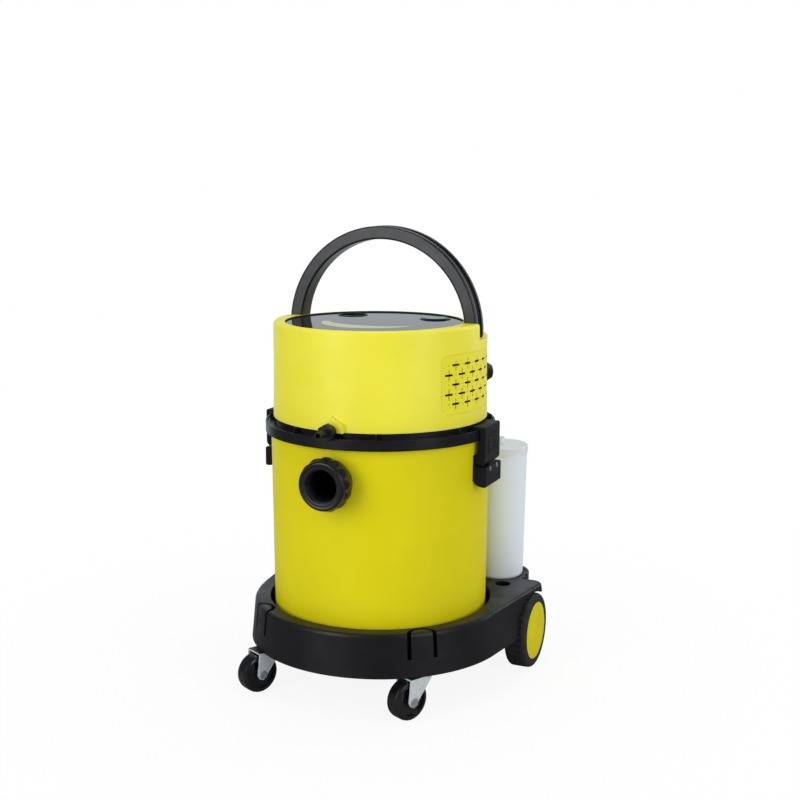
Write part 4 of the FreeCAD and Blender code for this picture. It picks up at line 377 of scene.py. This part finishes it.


# Moulded plastics: two tones in patches, edges with wear and painted highlight, long rubs, soft
# waves and a fine grain
mouldedLook = {
    "match": (0.90, 0.99),  # how far the rounded normal agrees with the face where the edge takes wear and painted highlight
    "wearAndHighlightFrom": (0.45, 0.62),
    "wearAndHighlightPatch": 0.012,
    "edgeWearAndHighlightPatch": 0.004,
    "edgeWearAndHighlightContrast": 1.15,
    "ior": 1.46,
}
yellowLook = varied(mouldedLook, {
    "deep": (0.622, 0.552, 0.0014),
    "pale": (0.668, 0.596, 0.0026),
    "edgeWearAndHighlight": (0.80, 0.78, 0.20),
    "wearAndHighlightAmount": 0.5,
    "patch": 0.11,
    "edge": 0.0009,
    "rubSize": 0.05,
    "rubStretch": (1.0, 1.0, 3.5),
    "roughness": (0.40, 0.52),
    "waveSize": 0.035,
    "waveDepth": 0.00035,
    "grainSize": 0.0012,
    "grainDepth": 0.00002,
    "specular": 0.18,
})
blackLook = varied(mouldedLook, {
    "deep": (0.0072, 0.0070, 0.0090),
    "pale": (0.0106, 0.0103, 0.0130),
    "edgeWearAndHighlight": (0.045, 0.045, 0.048),
    "wearAndHighlightAmount": 0.6,
    "patch": 0.05,
    "edge": 0.0008,
    "rubSize": 0.03,
    "rubStretch": (1.0, 1.0, 2.5),
    "roughness": (0.30, 0.44),
    "waveSize": 0.03,
    "waveDepth": 0.0003,
    "grainSize": 0.0011,
    "grainDepth": 0.00003,
    "specular": 0.28,
})
yellowPieces = {
    "yellowDrum": {},
    "yellowCover": {
        "deep": (0.765, 0.708, 0.034),
        "pale": (0.815, 0.758, 0.048),
        "patch": 0.08,
        "waveSize": 0.03,
        "roughness": (0.32, 0.44),
        "specular": 0.42,
    },
    "yellowGrille": {
        "deep": (0.745, 0.690, 0.030),
        "pale": (0.785, 0.730, 0.040),
        "edge": 0.0004,
        "waveDepth": 0.0001,
        "wall": {"heights": (0.3555, 0.480), "radii": (0.1399, 0.1386)},
        "sink": (0.0002, 0.0013),  # painted shade darkens the slots and grooves between these depths
        "shade": (0.010, 0.009, 0.002),
        "shadePatch": 0.003,
        "shadeContrast": 1.4,
    },
    "yellowCap": {
        "deep": (0.54, 0.47, 0.002),
        "pale": (0.60, 0.52, 0.004),
        # painted highlight: a lighter ring along the cap's edge
        "edgeWearAndHighlight": (0.82, 0.77, 0.16),
        "wearAndHighlightAmount": 0.8,
        "wearAndHighlightFrom": (0.30, 0.45),
        "patch": 0.03,
        "edge": 0.0012,
        "waveDepth": 0.0001,
        "specular": 0.06,
    },
    "palePrint": {
        "deep": (0.46, 0.45, 0.20),
        "pale": (0.52, 0.51, 0.24),
        "edgeWearAndHighlight": (0.4, 0.38, 0.1),
        "patch": 0.01,
        "edge": 0.00005,
        "rubSize": 0.01,
        "roughness": (0.06, 0.16),
        "waveDepth": 0.00001,
        "grainDepth": 0.000002,
        "ior": 1.5,
        "specular": 0.12,
    },
}
blackPieces = {
    "blackTrolley": {},
    "blackCollar": {"patch": 0.03, "edge": 0.0006, "roughness": (0.26, 0.38)},
    "blackLatch": {"patch": 0.02, "edge": 0.0006, "roughness": (0.38, 0.50), "specular": 0.07},
    "blackFitting": {"patch": 0.015, "edge": 0.0004, "roughness": (0.3, 0.42)},
    "blackNut": {
        "wearAndHighlightAmount": 0.25,
        "match": (0.75, 0.95),
        "patch": 0.015,
        "edge": 0.0004,
        "roughness": (0.26, 0.34),
        "waveDepth": 0.00006,
        "grainDepth": 0.000006,
        "specular": 0.42,
    },
    "blackHandle": {
        "deep": (0.0090, 0.0100, 0.0135),
        "pale": (0.0105, 0.0115, 0.0155),
        # painted highlight: the handle's edges are painted lighter, as light edge lines
        "edgeWearAndHighlight": (0.070, 0.075, 0.088),
        "wearAndHighlightAmount": 0.8,
        "wearAndHighlightFrom": (0.0, 0.25),
        "match": (0.70, 0.93),
        "patch": 0.04,
        "edge": 0.0012,
        "roughness": (0.30, 0.36),
        "waveDepth": 0.00003,
        "grainDepth": 0.000003,
        "ior": 1.5,
        "specular": 0.43,
    },
    "blackCaster": {
        "deep": (0.0045, 0.0045, 0.0056),
        "pale": (0.0070, 0.0070, 0.0084),
        "patch": 0.01,
        "edge": 0.0004,
        "roughness": (0.12, 0.20),
        "waveDepth": 0.00005,
        "ior": 1.5,
        "specular": 0.75,
    },
    "blackInner": {"patch": 0.02, "edge": 0.0004, "roughness": (0.4, 0.55)},
    "floatShell": {
        "deep": (0.62, 0.62, 0.60),
        "pale": (0.70, 0.70, 0.68),
        "edgeWearAndHighlight": (0.5, 0.5, 0.48),
        "patch": 0.02,
    },
}


def makeMoulding(name, look):
    sockets = {"IOR": look["ior"], "Specular IOR Level": look["specular"]}
    finish = Finish(name, sockets, look["edge"])
    colour = finish.tones(finish.noise(look["patch"]), look["deep"], look["pale"])
    # The edges take their own tone: partly wear, and on most finishes a lighter tone that is a
    # painted highlight along rounded edges
    wearAndHighlightMask = finish.reckon(
        "MULTIPLY",
        finish.edges(look["match"]),
        finish.spread(
            finish.noise(look["wearAndHighlightPatch"], detail=5.0), 0.0, look["wearAndHighlightAmount"], look["wearAndHighlightFrom"]))
    edgeWearAndHighlight = finish.tones(
        finish.noise(look["edgeWearAndHighlightPatch"]), look["edgeWearAndHighlight"], paler(look["edgeWearAndHighlight"], look["edgeWearAndHighlightContrast"]))
    colour = finish.over(wearAndHighlightMask, colour, edgeWearAndHighlight)
    # Painted shade: the grille's slots and grooves darken with their depth behind the wall
    if "wall" in look:
        shade = finish.tones(
            finish.noise(look["shadePatch"]),
            look["shade"], paler(look["shade"], look["shadeContrast"]))
        colour = finish.over(finish.sunk(look["wall"], look["sink"]), colour, shade)
    finish.link(colour, finish.shader.inputs["Base Color"])
    rubs = finish.noise(look["rubSize"], detail=4.0, stretch=look["rubStretch"])
    finish.link(finish.spread(rubs, *look["roughness"]), finish.shader.inputs["Roughness"])
    finish.addBump(finish.noise(look["waveSize"], detail=1.0), look["waveDepth"])
    finish.addBump(finish.noise(look["grainSize"], detail=2.0), look["grainDepth"])
    return finish.material


finishes = {}
for family, pieces in ((yellowLook, yellowPieces), (blackLook, blackPieces)):
    for finishName, changes in pieces.items():
        finishes[finishName] = makeMoulding(finishName, varied(family, changes))
print("moulded plastics made")


# Rubber: two tones in patches under a thin dust
rubberLook = {
    "patch": 0.02,
    "edge": 0.0006,
    "dust": 0.35,  # how well the dust covers
    "dustFrom": (0.52, 0.7),
    "dustPatch": 0.009,
    "dustGrain": 0.003,
    "dustContrast": 1.3,
    "rubSize": 0.006,
    "roughness": (0.62, 0.85),
    "grainSize": 0.0009,
    "grainDepth": 0.00006,
    "specular": 0.3,
}
rubberPieces = {
    "tyreRubber": {
        "deep": (0.012, 0.012, 0.013),
        "pale": (0.02, 0.02, 0.021),
        "dusty": (0.05, 0.048, 0.045),
    },
    "gasketRubber": {
        "deep": (0.008, 0.008, 0.008),
        "pale": (0.012, 0.012, 0.012),
        "dusty": (0.02, 0.02, 0.02),
    },
}


def makeRubber(name, look):
    finish = Finish(name, {"Specular IOR Level": look["specular"]}, look["edge"])
    colour = finish.tones(finish.noise(look["patch"]), look["deep"], look["pale"])
    dust = finish.tones(
        finish.noise(look["dustGrain"]), look["dusty"], paler(look["dusty"], look["dustContrast"]))
    dustMask = finish.spread(
        finish.noise(look["dustPatch"], detail=6.0), 0.0, look["dust"], look["dustFrom"])
    finish.link(finish.over(dustMask, colour, dust), finish.shader.inputs["Base Color"])
    rubs = finish.noise(look["rubSize"])
    finish.link(finish.spread(rubs, *look["roughness"]), finish.shader.inputs["Roughness"])
    finish.addBump(finish.noise(look["grainSize"], detail=2.0), look["grainDepth"])
    return finish.material


# Metals: a tone for each grain, with streaks in the gloss, and on some painted shade on the faces
# that look up
metalLook = {
    "metallic": 1.0,
    "edge": 0.0004,
    "brushed": None,  # how brush marks are drawn out, where there are any
    "streakSize": 0.004,
    "grainSize": 0.0008,
    "grainDepth": 0.00002,
    "upwardShade": None,  # colour of painted shade on the faces that look up, where there is any
    "upwardShadeFrom": (0.7, 0.8),
    "upwardShadePatch": 0.004,
    "upwardShadeContrast": 1.4,
}
metalPieces = {
    "zincPlate": {
        "deep": (0.70, 0.78, 0.84),
        "pale": (0.84, 0.91, 0.96),
        "roughness": (0.26, 0.40),
        "spangle": 0.003,
        "metallic": 0.50,
        # painted shade on the fork's faces that look up
        "upwardShade": (0.006, 0.006, 0.007),
    },
    "brightSteel": {
        "deep": (0.55, 0.56, 0.58),
        "pale": (0.62, 0.63, 0.65),
        "roughness": (0.18, 0.3),
        "spangle": 0.002,
    },
    "axleSteel": {
        "deep": (0.42, 0.47, 0.51),
        "pale": (0.60, 0.66, 0.70),
        "roughness": (0.2, 0.35),
        "spangle": 0.001,
        "metallic": 0.8,
    },
    "screwSteel": {
        "deep": (0.40, 0.40, 0.42),
        "pale": (0.55, 0.55, 0.57),
        "roughness": (0.25, 0.4),
        "spangle": 0.001,
    },
    "motorSteel": {
        "deep": (0.38, 0.39, 0.41),
        "pale": (0.50, 0.51, 0.53),
        "roughness": (0.3, 0.45),
        "spangle": 0.004,
        "brushed": (1.0, 1.0, 12.0),
    },
    "stackedCore": {
        "deep": (0.14, 0.12, 0.11),
        "pale": (0.24, 0.21, 0.19),
        "roughness": (0.45, 0.6),
        "spangle": 0.004,
        "brushed": (1.0, 1.0, 40.0),
    },
}


def makeMetal(name, look):
    finish = Finish(name, {"Metallic": look["metallic"]}, look["edge"])
    colour = finish.tones(finish.spangles(look["spangle"]), look["deep"], look["pale"], fullSpan)
    # Painted shade: the faces that look up take a dark tone that is not metallic
    if look["upwardShade"]:
        upwardShadeMask = finish.upward(look["upwardShadeFrom"])
        upwardShade = finish.tones(
            finish.noise(look["upwardShadePatch"]), look["upwardShade"], paler(look["upwardShade"], look["upwardShadeContrast"]))
        colour = finish.over(upwardShadeMask, colour, upwardShade)
        bareMetal = finish.spread(upwardShadeMask, look["metallic"], 0.0, fullSpan)
        finish.link(bareMetal, finish.shader.inputs["Metallic"])
    finish.link(colour, finish.shader.inputs["Base Color"])
    streaks = finish.noise(look["streakSize"], detail=5.0, stretch=look["brushed"])
    finish.link(finish.spread(streaks, *look["roughness"]), finish.shader.inputs["Roughness"])
    finish.addBump(finish.noise(look["grainSize"], stretch=look["brushed"]), look["grainDepth"])
    return finish.material


for finishName, changes in rubberPieces.items():
    finishes[finishName] = makeRubber(finishName, varied(rubberLook, changes))
for finishName, changes in metalPieces.items():
    finishes[finishName] = makeMetal(finishName, varied(metalLook, changes))
print("rubber and metals made")


# Black gloss of the top panel and the pump's button, with faint smears
glossLook = {
    "deep": (0.006, 0.0065, 0.008),
    "pale": (0.009, 0.0095, 0.012),
    "patch": 0.05,
    "edge": 0.0004,
    "smearSize": 0.018,
    "smearStretch": (1.0, 2.5, 1.0),
    "smearFrom": (0.35, 0.75),
    "roughness": (0.01, 0.05),
    "grainSize": 0.0015,
    "grainDepth": 0.000002,
    "ior": 1.52,
    "specular": 0.12,
}


def makeGlossPanel(name, look):
    sockets = {"IOR": look["ior"], "Specular IOR Level": look["specular"]}
    finish = Finish(name, sockets, look["edge"])
    colour = finish.tones(finish.noise(look["patch"]), look["deep"], look["pale"])
    finish.link(colour, finish.shader.inputs["Base Color"])
    smears = finish.noise(look["smearSize"], detail=5.0, stretch=look["smearStretch"])
    roughness = finish.spread(smears, *look["roughness"], look["smearFrom"])
    finish.link(roughness, finish.shader.inputs["Roughness"])
    finish.addBump(finish.noise(look["grainSize"], detail=2.0), look["grainDepth"])
    return finish.material


# Milky plastic of the bottle and its lid: light passes a little, and the wall is wavy
milkyLook = {
    "edge": 0.0008,
    "streakSize": 0.05,
    "streakStretch": (1.0, 1.0, 0.35),
    "rubSize": 0.02,
    "roughness": (0.28, 0.42),
    "waveSize": 0.022,
    "grainSize": 0.0014,
    "grainDepth": 0.00002,
    "ior": 1.5,
}
milkyPieces = {
    "milkyBottle": {
        "deep": (0.87, 0.93, 1.0),
        "pale": (0.89, 0.95, 1.0),
        "waveDepth": 0.0005,
        "transmission": 0.18,
        "subsurface": 0.05,
        "subsurfaceScale": 0.01,
    },
    "milkyLid": {
        "deep": (0.90, 0.94, 0.98),
        "pale": (0.93, 0.97, 1.0),
        "waveDepth": 0.0002,
        "transmission": 0.35,
        "subsurface": 0.15,
        "subsurfaceScale": 0.008,
    },
}


def makeMilky(name, look):
    finish = Finish(name, {
        "Transmission Weight": look["transmission"],
        "Subsurface Weight": look["subsurface"],
        "Subsurface Scale": look["subsurfaceScale"],
        "IOR": look["ior"],
    }, look["edge"])
    streaks = finish.noise(look["streakSize"], stretch=look["streakStretch"])
    colour = finish.tones(streaks, look["deep"], look["pale"])
    finish.link(colour, finish.shader.inputs["Base Color"])
    rubs = finish.noise(look["rubSize"])
    finish.link(finish.spread(rubs, *look["roughness"]), finish.shader.inputs["Roughness"])
    finish.addBump(finish.noise(look["waveSize"], detail=1.0), look["waveDepth"])
    finish.addBump(finish.noise(look["grainSize"], detail=2.0), look["grainDepth"])
    return finish.material


finishes["glossPanel"] = makeGlossPanel("glossPanel", glossLook)
for finishName, changes in milkyPieces.items():
    finishes[finishName] = makeMilky(finishName, varied(milkyLook, changes))
print("gloss and milky plastics made")


# Which finish each CAD node wears
wearing = {
    "yellowDrum": ["drum"],
    "yellowCover": ["head_housing"],
    "yellowGrille": ["vent_grille_right", "vent_grille_left"],
    "yellowCap": ["wheel_cap_right", "wheel_cap_left"],
    "blackTrolley": ["trolley_base"],
    "blackCollar": [
        "drum_collar", "head_base",
        "vacuum_switch_bezel", "pump_switch_bezel", "vacuum_rocker",
    ],
    "blackLatch": [
        "latch_lever_right", "latch_lever_left",
        "latch_bracket_right", "latch_bracket_left",
        "latch_catch_right", "latch_catch_left",
    ],
    "blackFitting": ["cord_gland", "solution_outlet", "inlet_spigot", "inlet_elbow"],
    "blackNut": ["inlet_nut"],
    "blackHandle": ["handle"],
    "blackCaster": [
        "caster_wheel_right", "caster_wheel_left",
        "rear_rim_right", "rear_rim_left",
    ],
    "blackInner": ["float_cage", "solution_pump", "fan_case"],
    "floatShell": ["float"],
    "tyreRubber": ["rear_tyre_right", "rear_tyre_left"],
    "gasketRubber": ["head_gasket"],
    "zincPlate": ["caster_fork_right", "caster_fork_left"],
    "brightSteel": [
        "rear_axle", "axle_clips",
        "caster_stem_right", "caster_stem_left",
        "latch_pins", "motor_shaft",
    ],
    "axleSteel": ["caster_axle_right", "caster_axle_left"],
    "screwSteel": ["drum_screws", "handle_screws", "latch_screws", "head_screws"],
    "motorSteel": ["motor_can", "fan_impeller"],
    "stackedCore": ["motor_stator"],
    "glossPanel": ["top_panel", "pump_button"],
    "milkyBottle": ["bottle"],
    "milkyLid": ["bottle_lid"],
}


def dress(node, material):
    piece = nodes[node]
    if not piece.material_slots:
        piece.data.materials.append(material)
    for held in piece.material_slots:
        held.material = material


for finishName, wearers in wearing.items():
    for node in wearers:
        dress(node, finishes[finishName])
bare = sorted(set(nodes) - {node for wearers in wearing.values() for node in wearers})
print("nodes dressed; still bare:", bare)


def spinOutline(shape, outline, centre, axis, segments):
    # Closes the outline and spins it all the way round into a ring
    for spot, corner in enumerate(outline):
        shape.edges.new((outline[spot - 1], corner))
    bmesh.ops.spin(
        shape, geom=shape.verts[:] + shape.edges[:], cent=centre, axis=axis,
        angle=math.tau, steps=segments, use_merge=True)
    bmesh.ops.remove_doubles(shape, verts=shape.verts, dist=weldDistance)


def stepOf(across, up, steps):
    # Which step of the spin a corner stands at, counted from straight above the axis
    return round(math.atan2(across, up) / math.tau * steps) % steps


def finishPiece(shape, name, body, finishName, smooth=True):
    bmesh.ops.recalc_face_normals(shape, faces=shape.faces)
    mesh = bpy.data.meshes.new(name)
    shape.to_mesh(mesh)
    shape.free()
    for face in mesh.polygons:
        face.use_smooth = smooth
    mesh.materials.append(finishes[finishName])
    piece = bpy.data.objects.new(name, mesh)
    scene.collection.objects.link(piece)
    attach(piece, body)
    return piece


# Pieces on the top panel: a bare printed crescent, and a dark ring round the panel that stands in
# for the shade in the gap between panel and housing
panelSeat = {
    "centre": (0.0, drumAxisY - 0.019),
    "radius": 0.115,
    "top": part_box("top_panel")[1].z,
}
crescent = {
    "centre": (0.001, drumAxisY - 0.026),
    "radius": 0.066,
    "start": 190.0,  # degrees, the blunt end on the left
    "end": 352.0,
    "columns": 48,
    "startWidth": 0.008,
    "middleWidth": 0.026,
    "tipWidth": 0.0004,
    "thickness": 0.00015,
}
panelGapShadeRing = {
    "width": 0.0011,
    "crown": 0.35,  # share of the width that is flat on top
    "rise": 0.0016,
    "depth": 0.0004,
    "segments": 192,
}


def makeCrescent(setup, seat):
    shape = bmesh.new()
    # The grid is one unit square about its middle, and is bent into the crescent
    bmesh.ops.create_grid(shape, x_segments=setup["columns"], y_segments=1, size=0.5)
    for corner in shape.verts:
        along = corner.co.x + 0.5
        inwards = 0.5 - corner.co.y
        blunt = setup["startWidth"] * (1.0 - along) ** 2
        width = max(blunt + setup["middleWidth"] * math.sin(math.pi * along), setup["tipWidth"])
        reach = setup["radius"] - width * inwards
        turn = math.radians(setup["start"] + (setup["end"] - setup["start"]) * along)
        corner.co = Vector((
            setup["centre"][0] + reach * math.cos(turn),
            setup["centre"][1] + reach * math.sin(turn),
            seat["top"]))
    raised = bmesh.ops.extrude_face_region(shape, geom=shape.faces[:])
    lifted = [item for item in raised["geom"] if isinstance(item, bmesh.types.BMVert)]
    bmesh.ops.translate(shape, verts=lifted, vec=(0.0, 0.0, setup["thickness"]))
    finishPiece(shape, "panelPrint", "head", "palePrint", smooth=False)


# Painted shade: a dark raised ring at the panel's edge stands in for the shade in the gap there
def makePanelGapShadeRing(setup, seat):
    shape = bmesh.new()
    outer = seat["radius"]
    inner = outer - setup["width"]
    crown = outer - setup["crown"] * setup["width"]
    low = seat["top"] - setup["depth"]
    high = seat["top"] + setup["rise"]
    profile = [(inner, low), (outer, low), (outer, high), (crown, high), (inner, seat["top"])]
    outline = [shape.verts.new((reach, 0.0, height)) for reach, height in profile]
    spinOutline(shape, outline, (0.0, 0.0, 0.0), (0.0, 0.0, 1.0), setup["segments"])
    bmesh.ops.translate(shape, verts=shape.verts, vec=(*seat["centre"], 0.0))
    finishPiece(shape, "panelGapShadeRing", "head", "gasketRubber")


makeCrescent(crescent, panelSeat)
makePanelGapShadeRing(panelGapShadeRing, panelSeat)
print("print and bead on the top panel made")


# Nut of the hose inlet: a rolled front ring that flares back into a grip of soft lobes
gripNut = {
    "height": inletHeight,
    "segments": 312,
    "lobes": 13,
    "lobeShape": 0.6,  # below 1 the lobes are full and the dips between them narrow
    "profile": [  # radius, reach from the drum's axis, depth of the dips between the lobes
        (0.02315, 0.1482, 0.0), (0.0296, 0.1482, 0.0006), (0.0307, 0.1488, 0.0014),
        (0.0316, 0.1502, 0.0022), (0.0326, 0.1524, 0.0028), (0.0334, 0.1550, 0.0032),
        (0.0338, 0.1575, 0.0034), (0.0340, 0.1600, 0.0035), (0.0338, 0.1626, 0.0033),
        (0.0333, 0.1648, 0.0026), (0.0326, 0.1664, 0.0017), (0.0319, 0.1677, 0.0008),
        (0.0314, 0.1688, 0.0), (0.0312, 0.1700, 0.0), (0.0310, 0.1713, 0.0),
        (0.0305, 0.1725, 0.0), (0.0297, 0.1734, 0.0), (0.0287, 0.1739, 0.0),
        (0.0277, 0.1740, 0.0), (0.0270, 0.1738, 0.0), (0.0264, 0.1736, 0.0),
        (0.0240, 0.1736, 0.0), (0.0219, 0.1736, 0.0), (0.0213, 0.1734, 0.0),
        (0.0210, 0.1729, 0.0), (0.0209, 0.1720, 0.0), (0.0209, 0.1710, 0.0),
        (0.02315, 0.1710, 0.0),
    ],
}


def makeGripNut(setup):
    shape = bmesh.new()
    dipDepth = shape.verts.layers.float.new("dipDepth")
    outline = []
    for radius, reach, depth in setup["profile"]:
        corner = shape.verts.new((0.0, drumAxisY - reach, setup["height"] + radius))
        corner[dipDepth] = depth
        outline.append(corner)
    spinOutline(shape, outline, (0.0, 0.0, setup["height"]), (0.0, 1.0, 0.0), setup["segments"])
    for corner in shape.verts:
        out = Vector((corner.co.x, 0.0, corner.co.z - setup["height"]))
        turn = math.tau * stepOf(out.x, out.z, setup["segments"]) / setup["segments"]
        dip = 1.0 - abs(math.cos(turn * setup["lobes"] / 2.0)) ** setup["lobeShape"]
        corner.co -= out.normalized() * corner[dipDepth] * dip
    shape.verts.layers.float.remove(dipDepth)
    nut = finishPiece(shape, "gripNut", "hose_nut", "blackNut")
    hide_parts("inlet_nut")


# Spigot behind the nut, with a flange small enough for the nut to hide
hoseSpigot = {
    "height": inletHeight,
    "segments": 96,
    "profile": [  # radius, reach from the drum's axis
        (0.0200, 0.1280), (0.0230, 0.1280), (0.0230, 0.1365), (0.0262, 0.1365),
        (0.0268, 0.1371), (0.0270, 0.1380), (0.0270, 0.1450), (0.0268, 0.1460),
        (0.0262, 0.1466), (0.0230, 0.1469), (0.0230, 0.1702), (0.0226, 0.1706),
        (0.0205, 0.1706), (0.0200, 0.1702),
    ],
}


def makeSpigot(setup):
    shape = bmesh.new()
    outline = [
        shape.verts.new((0.0, drumAxisY - reach, setup["height"] + radius))
        for radius, reach in setup["profile"]]
    spinOutline(shape, outline, (0.0, 0.0, setup["height"]), (0.0, 1.0, 0.0), setup["segments"])
    spigot = finishPiece(shape, "hoseSpigot", "chassis", "blackFitting")
    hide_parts("inlet_spigot")


makeGripNut(gripNut)
makeSpigot(hoseSpigot)
print("nut and spigot of the hose inlet made")


# Rear tyres: smooth round shoulders, with cross grooves in the tread between them
rearTyre = {
    "innerSide": 0.1595,
    "axleY": 0.09225,
    "axleHeight": 0.0508,
    "blocks": 36,
    "stepsPerBlock": 10,
    "grooveSteps": 3,  # of the steps in a block, so many lie in its groove
    "profile": [  # radius, way out from the inner side, groove depth
        (0.0390, 0.0, 0.0), (0.0462, 0.0, 0.0), (0.0482, 0.0005, 0.0),
        (0.0496, 0.0016, 0.0006), (0.0505, 0.0032, 0.0014), (0.0508, 0.0052, 0.0016),
        (0.0508, 0.0150, 0.0016), (0.0508, 0.0206, 0.0016), (0.0508, 0.0216, 0.0008),
        (0.0507, 0.0226, 0.0), (0.0506, 0.0244, 0.0), (0.0502, 0.0261, 0.0),
        (0.0493, 0.0276, 0.0), (0.0480, 0.0286, 0.0), (0.0464, 0.0290, 0.0),
        (0.0440, 0.0288, 0.0), (0.0415, 0.0286, 0.0), (0.0402, 0.0287, 0.0),
        (0.0390, 0.0290, 0.0),
    ],
}


def makeTyre(setup, side, hand):
    shape = bmesh.new()
    grooveDepth = shape.verts.layers.float.new("grooveDepth")
    outline = []
    for radius, out, depth in setup["profile"]:
        corner = shape.verts.new((
            side * (setup["innerSide"] + out), setup["axleY"], setup["axleHeight"] + radius))
        corner[grooveDepth] = depth
        outline.append(corner)
    axle = (0.0, setup["axleY"], setup["axleHeight"])
    steps = setup["blocks"] * setup["stepsPerBlock"]
    spinOutline(shape, outline, axle, (1.0, 0.0, 0.0), steps)
    for corner in shape.verts:
        out = Vector((0.0, corner.co.y - setup["axleY"], corner.co.z - setup["axleHeight"]))
        if stepOf(out.y, out.z, steps) % setup["stepsPerBlock"] < setup["grooveSteps"]:
            corner.co -= out.normalized() * corner[grooveDepth]
    shape.verts.layers.float.remove(grooveDepth)
    tyre = finishPiece(shape, hand + "Tyre", hand + "_wheel", "tyreRubber")
    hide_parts("rear_tyre_" + hand)


makeTyre(rearTyre, 1, "right")
makeTyre(rearTyre, -1, "left")
print("rear tyres made")
